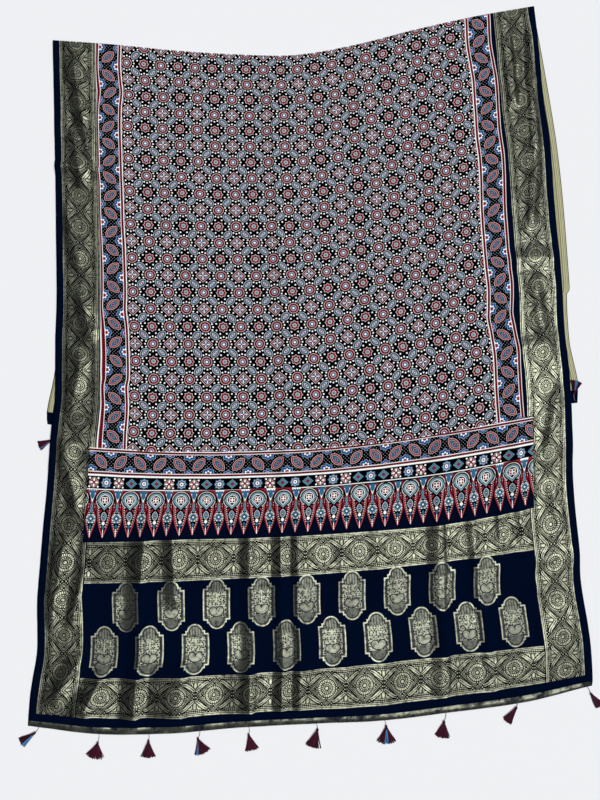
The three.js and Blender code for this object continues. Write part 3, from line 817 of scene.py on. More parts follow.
def draw_border(chart, along, across, pitch, flip=0.0):
    """along and across are millimetres; flip 1 turns the leaning and the sides round."""
    share = along / pitch
    index = chart.nearest(share)
    odd = chart.odd(index + flip)
    a = (share - index) * pitch * (odd * 2.0 - 1.0)
    b = across - BORDER_WIDTH / 2
    dots = chart.reach(chart.repeat(along + across, 7.4), chart.repeat(along - across, 7.4))
    chart.nest(dots, (-0.95, GREY))

    gap = chart.math("FLOOR", share)
    odd_gap = chart.odd(gap + flip)
    beside = abs((share - gap - 0.5) * pitch)
    from_edge = chart.choose(odd_gap, across, BORDER_WIDTH - across)
    far_edge = BORDER_WIDTH - from_edge

    def flower(rise, lift, size):
        radius, depth, lobes = size
        wave = chart.math("COSINE", chart.math("ARCTAN2", beside, rise) * lobes)
        return chart.reach(beside, rise - lift) - radius - wave * depth

    large = flower(from_edge, 0.5, LARGE_FLOWER)
    chart.nest(large, (-1.3, BLACK), (0, GREY), (0.8, INDIGO_BRIGHT), (6.0, WHITE))
    chart.nest(chart.reach(beside, from_edge - 2.2), (-4.0, MADDER_DARK), (-3.1, MADDER))
    chart.nest(flower(far_edge, 0.0, SMALL_FLOWER), (-1.3, BLACK), (0, GREY), (0.8, INDIGO_BRIGHT))
    chart.nest(chart.reach(beside, far_edge), (-4.9, CREAM), (-3.8, MADDER))

    cosine, sine = math.cos(ALMOND_LEAN), math.sin(ALMOND_LEAN)
    p, q = a * cosine + b * sine, b * cosine - a * sine
    almond = chart.leaf(p, q, *ALMOND_SIZE)
    chart.nest(almond, (-1.5, BLACK), (0, CREAM), (0.8, MADDER), (3.7, CREAM), (4.4, BLACK), (5.6, INDIGO))
    chart.nest(abs(p) + abs(q), (-4.3, INDIGO_PALE), (-3.4, MADDER))


def draw_beaded_line(chart, across, along, low, high, white_low, white_high):
    """A red line with dark beads from low to high, on a white line from white_low to white_high."""
    middle = (low + high) / 2
    chart.paint(chart.line(across - (white_low + white_high) / 2, (white_high - white_low) / 2), WHITE)
    chart.paint(chart.line(across - middle, (high - low) / 2), LINE_RED)
    chart.paint(chart.line(chart.repeat(along, 5.4), 1.35) * chart.line(across - middle, 1.3), MADDER_DARK)


LEFT_ALMONDS, LEFT_ALMOND_PITCH = 580.0, 42.0
RIGHT_ALMONDS, RIGHT_ALMOND_PITCH = 575.0, 40.75
SIDE_BORDER_START = 109.3
SIDE_LINES = ((103.2, 108.4, 101.9, 109.7), (154.8, 159.8, 153.6, 161.8))


def side_border_finish():
    chart = Chart("side border print", BLACK, "print")
    u, s = cloth_place(chart, sway=0.8, fold_ends=False)
    right = chart.inside(CLOTH_WIDTH / 2 - u, blur=0.1)
    side = chart.least(u, CLOTH_WIDTH - u)
    start = chart.choose(right, RIGHT_ALMONDS, LEFT_ALMONDS)
    pitch = chart.choose(right, RIGHT_ALMOND_PITCH, LEFT_ALMOND_PITCH)
    draw_border(chart, s - start, side - SIDE_BORDER_START, pitch, flip=right)
    for line in SIDE_LINES:
        draw_beaded_line(chart, side, s, *line)
    chart.nest(side, (-PRINT_LEFT_U, NAVY))
    return finish_cloth(chart)


side_border_material = side_border_finish()
print("side border drawn with", len(side_border_material.node_tree.nodes), "nodes")

# %% [markdown]
# ## The print across the ends
# Below the field three prints follow each other: the almond border between two beaded lines, a narrow strip of
# small tiles, and a row of long drops whose tips hang into the bare navy cloth. The strip repeats six tiles: red
# flower, blue star, red flower, lozenge, blue star, lozenge. A count along the cloth, taken by six, says which
# tile a place belongs to.

# %% Cross border and tile strip
ALMONDS_ACROSS, ALMOND_PITCH_ACROSS = 110.5, 41.65
CROSS_BORDER_START = 505.0
CROSS_LINES = ((548.6, 552.9, 547.4, 554.6), (501.0, 505.4, 497.2, 506.8))
TILE_START, TILE_PITCH, TILE_MIDDLE = 98.5, 26.6, 484.2
TILE_KINDS = 6.0


def draw_tiles(chart, u, s):
    share = (u - TILE_START) / TILE_PITCH
    index = chart.nearest(share)
    a, b = abs((share - index) * TILE_PITCH), abs(s - TILE_MIDDLE)
    kind = chart.math("FLOORED_MODULO", index, TILE_KINDS)
    red = chart.line(abs(kind - 1.0) - 1.0, 0.5)
    star = chart.line(abs(kind - 2.5) - 1.5, 0.5)
    lozenge = 1.0 - red - star

    bulb = chart.least(chart.reach(a - 5.4, b), chart.reach(a, b - 5.4))
    petal = chart.leaf(chart.most(a, b) - 5.6, chart.least(a, b), 3.4, 1.9)
    chart.nest(chart.reach(a - 9.0, b - 8.6), (-2.0, WHITE), where=red)
    chart.nest(bulb, (-4.9, CREAM), (-4.2, MADDER), where=red)
    chart.nest(petal, (0, WHITE), where=red)
    chart.nest(a + b, (-2.4, BLACK), where=red)

    points = chart.least(chart.most(a, b), (a + b) * DIAGONAL) - 8.6
    chart.nest(points, (0, INDIGO), where=star)
    chart.paint(chart.line(points + 2.2, 0.7) * chart.line(chart.repeat(a - b, 3.6), 1.1) * star, CREAM)
    chart.nest(chart.reach(a, b), (-4.2, WHITE), where=star)
    chart.nest(a + b, (-2.4, MADDER), where=star)

    edge = a * 0.72 + b * 0.8 - 8.2
    steps = (0, INDIGO_PALE), (0.9, INDIGO), (3.2, INDIGO_PALE), (4.3, BLACK), (5.2, MADDER)
    chart.nest(edge, *steps, where=lozenge)


def cross_border_finish():
    chart = Chart("cross border print", BLACK)
    u, s = cloth_place(chart, sway=0.9)
    draw_border(chart, u - ALMONDS_ACROSS, s - CROSS_BORDER_START, ALMOND_PITCH_ACROSS)
    chart.nest(s, (-500.6, BLACK))
    draw_tiles(chart, u, s)
    chart.paint(chart.line(s - 549.5, 2.6), BLACK)
    for line in CROSS_LINES:
        draw_beaded_line(chart, s, u, *line)
    chart.paint(chart.line(s - 470.2, 2.0), MADDER_DARK)
    chart.paint(chart.line(s - 470.6, 0.9), WHITE)
    return finish_cloth(chart)


cross_border_material = cross_border_finish()
print("cross border drawn with", len(cross_border_material.node_tree.nodes), "nodes")

# %% [markdown]
# In the drops `a` is the distance from the middle line of a drop and `b` the distance down from its top. A tip is
# a width that shrinks with a power of the depth: a power above one keeps the shoulders full.

# %% Drops
DROP_START, DROP_PITCH = 125.0, 53.65
DROP_TOP = 470.0
DROP_HEAD, DROP_SHOULDER = 20.5, 16.5  # depth of the head's middle, and half the width of the body there
NARROW_KNEE, NARROW_TIP, NARROW_SHOULDER = 57.0, 97.5, 12.6


def draw_long_drop(chart, a, b):
    """A wide drop: a round head with a flower, and a body that tapers to a tip."""
    fall = chart.most(b - DROP_HEAD, 0.0) / 76.5
    width = DROP_SHOULDER - chart.math("POWER", fall, 2.2) * DROP_SHOULDER
    head = chart.reach(a, b - DROP_HEAD)
    body = chart.least(head - 19.4, chart.most(a - width, DROP_HEAD - b))
    chart.nest(body, (-2.2, BLACK), (0, MADDER))
    chart.nest(chart.reach(body + 1.2, chart.repeat(b, 4.4)), (-0.95, MADDER_PALE))
    chart.nest(head, (-19.4, BLACK))
    chart.paint(chart.line(head - 18.0, 0.75), CREAM)
    chart.paint(chart.inside(body + 3.0) * chart.inside(36.0 - b), BLACK)
    beads = chart.inside(chart.reach(body + 4.2, chart.repeat(b, 4.6)) - 1.25)
    chart.paint(beads * chart.line(b - 56.0, 20.0), CREAM)

    point = chart.most(a * 0.75 + (b - 41.0) * 0.66, DROP_HEAD - b)
    heart = chart.least(head - 14.4, point)
    chart.nest(heart, (-1.3, BLACK), (0, INDIGO_PALE))
    beads = chart.reach(chart.repeat(a + b, 4.6), chart.repeat(a - b, 4.6)) - 1.4
    chart.paint(chart.line(heart + 2.0, 1.5) * chart.inside(beads), INDIGO_DARK)
    chart.nest(heart, (3.8, WHITE), (5.0, BLACK))
    from_middle = abs(b - 21.0)
    chart.nest(chart.reach(a - 3.0, from_middle - 3.0), (-3.6, WHITE), (-2.2, MADDER))
    chart.nest(a + from_middle, (-2.4, WHITE))

    tilt_a, tilt_b = a - 7.5, b - 43.0
    chart.nest(chart.leaf(tilt_a * 0.6 + tilt_b * 0.8, tilt_a * 0.8 - tilt_b * 0.6, 4.6, 1.9), (0, MADDER))
    eye = chart.leaf(b - 53.5, a, 9.6, 5.8)
    chart.nest(eye, (-1.0, BLACK), (0, CREAM), (1.0, INDIGO), (2.9, INDIGO_PALE), (3.8, BLACK))
    chart.nest(chart.reach(a, b - 53.5), (-0.9, WHITE))
    chart.nest(chart.leaf(b - 67.0, a, 3.6, 3.2), (0, WHITE))
    chart.nest(chart.leaf(b - 75.0, a, 4.2, 2.4), (0, INDIGO))
    chart.paint(chart.line(a, 0.75) * chart.line(b - 87.0, 7.5), WHITE)


def draw_narrow_drop(chart, a, b):
    """The narrow drop between two wide ones: a wedge, a neck of lozenges, a diamond flower and a tip."""
    below = chart.most(b - NARROW_KNEE, 0.0) / 40.5
    upper = chart.most(3.7, NARROW_SHOULDER - (NARROW_KNEE - b) * 0.44)
    lower = NARROW_SHOULDER - chart.math("POWER", below, 1.35) * NARROW_SHOULDER
    width = chart.choose(chart.inside(NARROW_KNEE - b), lower, upper)
    body = chart.most(a - width, b - NARROW_TIP)
    chart.nest(body, (-2.0, BLACK), (0, MADDER), (2.2, BLACK))
    chart.nest(chart.reach(body + 3.4, chart.repeat(b, 4.6)), (-1.15, CREAM))
    chart.nest(a + b * 0.34 - 9.0, (-1.2, BLACK), (0, WHITE))
    chart.nest(chart.least(chart.leaf(b - 10.0, a, 10.0, 4.6), chart.reach(a - 5.0, b - 4.2) - 3.0), (0, INDIGO))

    stones = chart.leaf(chart.repeat(b - 33.0, 9.0), a, 4.3, 2.7)
    neck = chart.line(b - 37.5, 9.0)
    chart.nest(stones, (-0.6, BLACK), (0, INDIGO_PALE), (1.0, INDIGO), where=neck)

    along = abs(b - 57.5)
    scallop = chart.reach(abs(a - along) * DIAGONAL - 2.6, (a + along) * DIAGONAL - 7.2) - 1.9
    chart.paint(chart.inside(scallop) * chart.inside(body + 2.4), WHITE)
    steps = (-1.0, BLACK), (0, INDIGO_PALE), (1.4, INDIGO), (4.2, BLACK), (6.4, WHITE)
    chart.nest(a + along - 9.0, *steps)
    chart.nest(chart.leaf(b - 73.5, a, 4.2, 2.3), (0, INDIGO))
    chart.paint(chart.line(a, 0.75) * chart.line(b - 86.0, 7.5), WHITE)


def drops_finish():
    chart = Chart("drop print", NAVY)
    u, s = cloth_place(chart, sway=0.9)
    b = DROP_TOP - s
    wide = abs(chart.repeat(u - DROP_START, DROP_PITCH))
    narrow = abs(chart.repeat(u - DROP_START - DROP_PITCH / 2, DROP_PITCH))
    chart.nest(b, (-58.0, MADDER))
    specks = chart.reach(chart.repeat(wide, 5.2), chart.repeat(b - 1.0, 5.6)) - 1.1
    chart.paint(chart.inside(specks) * chart.line(b - 38.0, 16.0), CREAM)
    draw_narrow_drop(chart, narrow, b)
    draw_long_drop(chart, wide, b)
    chart.nest(s, (-371.5, NAVY))
    return finish_cloth(chart)


drops_material = drops_finish()
print("drops drawn with", len(drops_material.node_tree.nodes), "nodes")

# %% [markdown]
# ## Gold brocade
# The gold thread is a flat metal strip wound on silk, woven over the navy ground. Where it floats it mirrors the
# light like a rough metal, so it runs from dull olive to bright straw as the cloth turns. A drawing says how much
# gold there is at a place, and from that one number come the colour, the metal and the roughness.

# %% Gold thread over navy
GOLD = dye(192, 196, 172)
GOLD_GROUND = dye(3, 5, 12)
GOLD_ROUGHNESS, SILK_ROUGHNESS = 0.30, 0.8


def finish_gold(chart, gold):
    """Colour, metal and roughness from the share of gold thread, which is 0 to 1."""
    shown = gold * (chart.uneven(420.0, 2.0, 0.6, 0.66) * chart.uneven(130.0, 2.0, 2.2, -0.24))
    chart.paint(shown, GOLD)
    finish_cloth(chart, roughness=GOLD_ROUGHNESS, dye_noise=0.3, weave=0.35)
    metal = chart.math("MULTIPLY", shown, 4.0, clamp=True)
    rough = chart.math("MULTIPLY_ADD", metal, GOLD_ROUGHNESS - SILK_ROUGHNESS, SILK_ROUGHNESS)
    chart.links.new(metal.socket, chart.shader.inputs["Metallic"])
    chart.links.new(rough.socket, chart.shader.inputs["Roughness"])
    return chart.material


def lay(chart, gold, *steps, where=None):
    """Lays shapes over each other: each step is a mask and the share of gold that it gets."""
    for mask, share in steps:
        gold = chart.choose(mask if where is None else mask * where, share, gold)
    return gold


print("gold", GOLD[:3])

# %% [markdown]
# The bands repeat one unit: a medallion of rings and petals in a diamond, bars that cross between two diamonds,
# and curls in the corners. The side bands and the end bands are the same unit, turned.

# %% Medallion band
def draw_medallions(chart, along, across, pitch):
    """The share of gold at a place in a band. along is 0 at a medallion, across is 0 on the band's middle."""
    a, b = abs(chart.repeat(along, pitch)), abs(across)
    from_corner = pitch / 2 - a
    slope, climb = a * 0.63 + b * 0.777, a * 0.777 - b * 0.63
    dots = chart.reach(chart.repeat(a + b, 6.4), chart.repeat(a - b, 6.4)) - 1.75
    gold = chart.inside(dots) * 0.7

    corner = chart.inside(34.2 - slope)
    curl = chart.reach(from_corner - 9.5, b - 20.5)
    rows = chart.line(abs(b - 29.2) - 1.8, 0.75) * chart.line(chart.repeat(from_corner, 4.2), 1.5)
    gold = lay(chart, gold, (corner, 0.34))
    gold = lay(
        chart, gold,
        (chart.line(curl - 4.1, 1.0), 0.9),
        (chart.inside(curl - 2.5), 0.0),
        (chart.inside(chart.leaf(b - 19.0, from_corner, 6.0, 2.2)), 0.95),
        (chart.line(from_corner - 4.3, 0.8) * chart.line(b - 19.5, 7.0), 0.0),
        (chart.line(b - 29.2, 3.6), 0.0),
        (rows, 0.85),
        where=corner,
    )

    on_bars = chart.line(climb - 7.0, 14.0)
    hook = chart.least(climb - 3.0, 0.0)
    bars = abs(abs(slope - 29.9 + hook * hook * 0.022) - 1.75) - 1.4 + abs(climb - 7.0) * 0.06
    gold = lay(chart, gold, (chart.line(slope - 30.0, 4.6), 0.0), (chart.inside(bars), 0.85), where=on_bars)

    frame = (a + b) * DIAGONAL - 21.9
    r = chart.reach(a, b)
    angle = chart.math("ARCTAN2", a, b)

    def spokes(step, half, turn=0.0):
        return chart.line(chart.repeat(angle + turn, step) * r, half)

    return lay(
        chart, gold,
        (chart.line(frame, 2.6), 0.0),
        (chart.line(abs(frame) - 1.2, 0.55) * chart.line(chart.repeat(a - b, 3.8), 1.2), 0.75),
        (chart.inside(r - 18.4), 0.0),
        (chart.line(r - 19.4, 0.8) * spokes(math.pi / 14, 1.1), 0.8),
        (chart.line(r - 14.2, 2.3) * (1.0 - spokes(math.pi / 13, 0.7, math.pi / 26)), 1.0),
        (chart.line(r - 9.1, 1.15) * (1.0 - spokes(math.pi / 7, 0.8)), 0.85),
        (chart.line(r - 6.0, 0.9), 0.6),
        (chart.inside(r - 2.9), 0.85),
        (chart.inside(32.6 - b), 0.0),
        (chart.line(b - 34.3, 0.8), 0.8),
        (chart.line(b - 37.5, 1.1), 0.9),
        (chart.line(b - 41.4, 0.9), 0.7),
    )


SIDE_PITCH, SIDE_START = 71.3, 44.0
SLIP_FROM, SIDE_SLIP = 900.0, 0.034  # further back the unit grows a little longer
SIDE_MIDDLE, SIDE_HALF, SIDE_WIDENING = 54.0, 39.3, 4.0
END_PITCH, END_START, END_EDGE = 74.55, 139.5, 95.0
LOWER_BAND_S, BETWEEN_BANDS_S, UPPER_BAND_S = 65.5, 200.0, 327.5


def side_band_finish():
    chart = Chart("side brocade", GOLD_GROUND)
    u, s = cloth_place(chart, sway=1.5, fold_ends=False)
    side = chart.least(u, CLOTH_WIDTH - u)
    along = s - SIDE_START - chart.most(s - SLIP_FROM, 0.0) * SIDE_SLIP
    gold = draw_medallions(chart, along, side - SIDE_MIDDLE, SIDE_PITCH)
    beside_print = chart.inside(PRINT_START - s) * chart.inside(s - (CLOTH_LENGTH - PRINT_START))
    wider = beside_print * (SIDE_WIDENING / 2)
    woven = chart.inside(abs(side - SIDE_MIDDLE - wider) - SIDE_HALF - wider)
    chart.paint(1.0 - woven, NAVY)
    return finish_gold(chart, gold * woven)


def end_band_finish():
    chart = Chart("end brocade", GOLD_GROUND)
    u, s = cloth_place(chart, sway=1.5)
    across = chart.choose(chart.inside(s - BETWEEN_BANDS_S), s - LOWER_BAND_S, s - UPPER_BAND_S)
    gold = draw_medallions(chart, u - END_START, across, END_PITCH)
    side = chart.least(u, CLOTH_WIDTH - u)
    return finish_gold(chart, gold * chart.inside(END_EDGE - side))


side_band_material = side_band_finish()
end_band_material = end_band_finish()
print("brocade drawn with", len(end_band_material.node_tree.nodes), "nodes")

# %% [markdown]
# ## Cartouches, hem and reverse
# The navy cloth between the two end bands carries two rows of cartouches, the lower row set half a step aside. The
# outline is joined from boxes and discs: the least of their distances is the distance to all of them together.
# The hem ends in a narrow worn gold strip. The reverse of the gold bands is pale with fine dark lines, and the
# reverse of the print is dark and plain.

# %% Cartouches
UPPER_ROW_U, UPPER_ROW_PITCH, UPPER_ROW_S, UPPER_ROW_COUNT = 551.0, 92.4, 241.0, 9
LOWER_ROW_U, LOWER_ROW_PITCH, LOWER_ROW_S, LOWER_ROW_COUNT = 136.5, 92.3, 155.0, 10
ROWS_MEET_S, FOOT_HALF = 197.5, 23.0  # the upper row's feet stand between the domes of the lower row


def draw_cartouche(chart, a, b):
    """a is the distance from its middle line, b the height above its middle. The result is the share of gold."""
    tall = chart.most(a - 27.5, abs(b) - 31.0)
    stepped = chart.most(a - 20.0, abs(b) - 36.5)
    dome = chart.reach(a, b - 33.0) - 16.5
    foot = chart.reach(a, b + 30.0) - 18.0
    shape = chart.least(chart.least(tall, stepped), chart.least(dome, foot))
    speckle = chart.texture("ShaderNodeTexVoronoi", Scale=235.0, Randomness=0.75)
    spots = chart.math("MULTIPLY_ADD", Amount(chart, speckle.outputs["Distance"]), 4.5, -1.1, clamp=True)
    bright = chart.inside(chart.reach(chart.repeat(a - 5.0, 7.4), chart.repeat(b - 1.0, 9.2)) - 1.7)
    vault = chart.inside(24.0 - b)
    bowl = chart.most(chart.reach(a * 0.92, b + 10.5) - 12.6, b + 12.0)
    heart = chart.least(chart.reach(a - 7.2, b + 12.5) - 6.6, bowl)
    gold = lay(
        chart, spots * 0.62 + 0.02,
        (bright * chart.line(b - 6.5, 18.5) * chart.inside(a - 20.0), 0.85),
        (chart.inside(a - 1.5) * chart.line(b - 14.0, 11.0), 0.75),
        (vault, 0.36),
        (chart.line(chart.repeat(a, 5.6), 1.0) * vault, 0.14),
        (chart.inside(21.0 - a) * chart.inside(b - 22.0), 0.3),
        (chart.line(a - 20.6, 0.8) * chart.inside(b - 28.0), 0.0),
        (chart.inside(b + 25.0), 0.24),
        (chart.inside(heart - 1.8), 0.0),
        (chart.inside(heart), 0.5),
        (chart.inside(heart + 4.0), 0.6),
        (chart.line(shape + 4.6, 0.9), 0.0),
        (chart.line(shape + 2.9, 1.0), 0.26),
        (chart.line(shape + 1.0, 1.1), 0.95),
    )
    return gold * chart.inside(shape)


def cartouches_finish():
    chart = Chart("cartouche brocade", NAVY)
    u, s = cloth_place(chart, sway=0.8)
    in_upper = abs(chart.repeat(u - UPPER_ROW_U, UPPER_ROW_PITCH))
    in_lower = abs(chart.repeat(u - LOWER_ROW_U, LOWER_ROW_PITCH))
    upper = chart.inside((in_upper - FOOT_HALF) * 0.5 - (s - ROWS_MEET_S), blur=0.01)
    a = chart.choose(upper, in_upper, in_lower)
    b = chart.choose(upper, s - UPPER_ROW_S, s - LOWER_ROW_S)
    lower_middle = LOWER_ROW_U + (LOWER_ROW_COUNT - 1) / 2 * LOWER_ROW_PITCH
    middle = chart.choose(upper, UPPER_ROW_U, lower_middle)
    ends = chart.choose(upper, UPPER_ROW_COUNT / 2 * UPPER_ROW_PITCH, LOWER_ROW_COUNT / 2 * LOWER_ROW_PITCH)
    gold = draw_cartouche(chart, a, b) * chart.inside(abs(u - middle) - ends, blur=0.01)
    return finish_gold(chart, gold)


cartouches_material = cartouches_finish()
print("cartouches drawn with", len(cartouches_material.node_tree.nodes), "nodes")

# %% Hem and reverse
REVERSE_PALE, REVERSE_LINE = dye(184, 184, 146), dye(84, 82, 58)
REVERSE_STRIPE, REVERSE_EDGE, REVERSE_PRINT = dye(120, 112, 92), dye(84, 62, 70), dye(40, 40, 52)


def hem_finish():
    chart = Chart("hem weave", NAVY)
    _, s = cloth_place(chart)
    worn = chart.uneven(34.0, 4.0, 4.6, -1.8)
    return finish_gold(chart, chart.line(s - 5.6, 5.0) * chart.math("MULTIPLY_ADD", worn, 0.62, 0.06))


def reverse_finish():
    chart = Chart("reverse weave", REVERSE_PALE)
    u, s = cloth_place(chart, fold_ends=False)
    side, ends = chart.least(u, CLOTH_WIDTH - u), chart.least(s, CLOTH_LENGTH - s)
    chart.paint(chart.line(chart.repeat(side, 4.1), 0.55) * 0.8, REVERSE_LINE)
    chart.paint(chart.line(side - 13.0, 1.0), REVERSE_STRIPE)
    chart.nest(side, (-1.8, REVERSE_EDGE))
    chart.paint(chart.inside(99.5 - side), REVERSE_PRINT)
    chart.nest(ends, (-27.0, NAVY))
    return finish_cloth(chart, roughness=0.6, dye_noise=0.3, weave=0.3)


hem_material = hem_finish()
reverse_material = reverse_finish()
print("hem and reverse woven")

# %% [markdown]
# ## Tassels
# A tassel is one bundle of dyed thread: a two-ply thread ties it to the hem, a winding makes its neck, and the
# strands of its skirt fall open on the floor. All twenty follow one plan, so a Geometry Nodes tree holds the plan
# and each tassel only brings its own numbers: where its thread starts, which way thread and skirt point, how long
# they are and how far the skirt fans out.

# %% The tassels' own numbers
FRONT_TASSELS = [  # x, thread length, thread heading, skirt length, skirt heading, spread, blue strands: share, place
    (-520, 13, -33, 33, -56, 30, 0.30, 0.80), (-400, 17, -4, 30, -12, 70, 0.0, 0.5), (-301, 13, 2, 31, 1, 48, 0.0, 0.5),
    (-199, 15, -14, 30, 20, 60, 0.20, 0.16), (-102, 15, 1, 30, 13, 44, 0.0, 0.5), (32, 12, 15, 35, -17, 44, 0.0, 0.5),
    (168, 12, 19, 33, 0, 66, 0.20, 0.52), (292, 18, -15, 30, -10, 54, 0.0, 0.5), (435, 9, -17, 33, -38, 26, 0.0, 0.5),
    (576, 16, 30, 28, 33, 34, 0.06, 0.2),
]
BACK_TASSELS = [
    (-524, 32, -4, 30, -65, 32, 0.1, 0.8), (-400, 16, 5, 30, 8, 50, 0.1, 0.3), (-290, 15, -6, 30, -10, 50, 0.0, 0.5),
    (-180, 15, 3, 30, 12, 50, 0.1, 0.6), (-65, 16, -4, 30, 0, 50, 0.0, 0.5), (55, 15, 6, 30, -12, 50, 0.1, 0.2),
    (175, 15, 2, 30, 10, 50, 0.0, 0.5), (300, 16, -5, 30, -6, 50, 0.1, 0.7), (420, 15, 4, 30, 8, 50, 0.0, 0.5),
    (588, 17, -177, 27, 163, 48, 0.24, 0.5),
]
TURNED_BACK_Y, TURNED_BACK_LIFT = -2.0, 0.4  # the last back tassel is turned back onto the lower layer
STRANDS = 84
print(len(FRONT_TASSELS) + len(BACK_TASSELS), "tassels of", STRANDS, "strands")

# %% The dyed thread of a tassel
SILK_DARK, SILK_BRIGHT, SILK_BLUE, SILK_TIE = dye(38, 0, 22), dye(78, 3, 40), dye(64, 132, 182), dye(140, 132, 152)


def tassel_finish():
    material = bpy.data.materials.new("tassel silk")
    material.use_nodes = True
    nodes, links = material.node_tree.nodes, material.node_tree.links
    shader = nodes["Principled BSDF"]
    colour = SILK_DARK
    for title, above in (("strand_shade", SILK_BRIGHT), ("blue_strand", SILK_BLUE), ("tie_thread", SILK_TIE)):
        mark = nodes.new("ShaderNodeAttribute")
        mark.attribute_name = title
        colour = mix_colours(nodes, links, mark.outputs["Fac"], colour, above)
    links.new(colour, shader.inputs["Base Color"])
    fibre = nodes.new("ShaderNodeTexNoise")
    fibre.inputs["Scale"].default_value = 900.0
    links.new(nodes.new("ShaderNodeTexCoord").outputs["Object"], fibre.inputs["Vector"])
    bump = nodes.new("ShaderNodeBump")
    bump.inputs["Strength"].default_value = 0.3
    bump.inputs["Distance"].default_value = 0.0003
    links.new(fibre.outputs[0], bump.inputs["Height"])
    links.new(bump.outputs[0], shader.inputs["Normal"])
    shader.inputs["Roughness"].default_value = 0.7
    shader.inputs["Specular IOR Level"].default_value = 0.2
    return material


tassel_material = tassel_finish()
print("tassel silk dyed")

# %% [markdown]
# In the tree a skirt starts as a row of points, one for each strand. A straight line is set on every point and
# turned a little further than the one before, which makes a fan. Then each line is bent by slow noise, sinks from
# the neck to the floor, and is given a section. The winding is a spiral, and the thread two lines that wind round
# each other. Everything is made pointing along -Y from its start and is turned and moved at the end.

# %% A tree under construction
class Tree:
    """A Geometry Nodes tree. node() adds a node and fills its sockets, in their order or by their names."""

    def __init__(self, name, **settings):
        self.group = bpy.data.node_groups.new(name, "GeometryNodeTree")
        self.group.interface.new_socket("Geometry", in_out="OUTPUT", socket_type="NodeSocketGeometry")
        self.sockets = {}
        for title, (kind, start) in settings.items():
            shown = title.replace("_", " ").title()
            socket = self.group.interface.new_socket(shown, in_out="INPUT", socket_type="NodeSocket" + kind)
            if start is not None:
                socket.default_value = start
            self.sockets[title] = socket.identifier
        self.entry = self.group.nodes.new("NodeGroupInput")

    def given(self, title):
        return next(s for s in self.entry.outputs if s.identifier == self.sockets[title])

    def node(self, kind, *values, out=0, **options):
        made = self.group.nodes.new(kind)
        named = {key: options.pop(key) for key in list(options) if not hasattr(made, key)}
        for key, value in options.items():
            setattr(made, key, value)
        for key, value in list(enumerate(values)) + [(key.replace("_", " "), value) for key, value in named.items()]:
            if isinstance(value, bpy.types.NodeSocket):
                self.group.links.new(value, made.inputs[key])
            elif value is not None:
                made.inputs[key].default_value = value
        return made.outputs[out]

    def math(self, operation, *values):
        return self.node("ShaderNodeMath", *values, operation=operation)

    def vector(self, x, y, z):
        return self.node("ShaderNodeCombineXYZ", x, y, z)

    def read(self, title):
        return self.node("GeometryNodeInputNamedAttribute", title)

    def random(self, low, high, identity, seed):
        return self.node("FunctionNodeRandomValue", None, None, low, high, None, None, None, identity, seed, out=1)

    def mark(self, geometry, title, value):
        """Stores a number under a title on every point."""
        kind = {"data_type": "FLOAT", "domain": "POINT"}
        return self.node("GeometryNodeStoreNamedAttribute", geometry, Name=title, Value=value, **kind)

    def join(self, *parts):
        made = self.group.nodes.new("GeometryNodeJoinGeometry")
        for part in parts:
            self.group.links.new(part, made.inputs[0])
        return made.outputs[0]

    def place(self, geometry, where, turn):
        return self.node("GeometryNodeTransform", geometry, Translation=where, Rotation=turn)

    def section(self, curve, radius):
        """Makes a curve into a four-sided strand."""
        ring = self.node("GeometryNodeCurvePrimitiveCircle", 4, Radius=1.0)
        thick = self.node("GeometryNodeSetCurveRadius", curve, None, radius)
        made = self.node("GeometryNodeCurveToMesh", Curve=thick, Profile_Curve=ring, Fill_Caps=True).node
        if "Scale" in made.inputs:
            self.group.links.new(self.node("GeometryNodeInputRadius"), made.inputs["Scale"])
        return made.outputs[0]


print("a tree grows node by node")

# %% The plan of a tassel, in metres
STRAND_AT_NECK, STRAND_AT_TIP = 0.00066, 0.00052  # radii of a strand
PLY, PLY_TWIST = 0.00042, 0.00036  # radius of a ply, and how far it winds round the middle of the thread
COIL = 0.00036


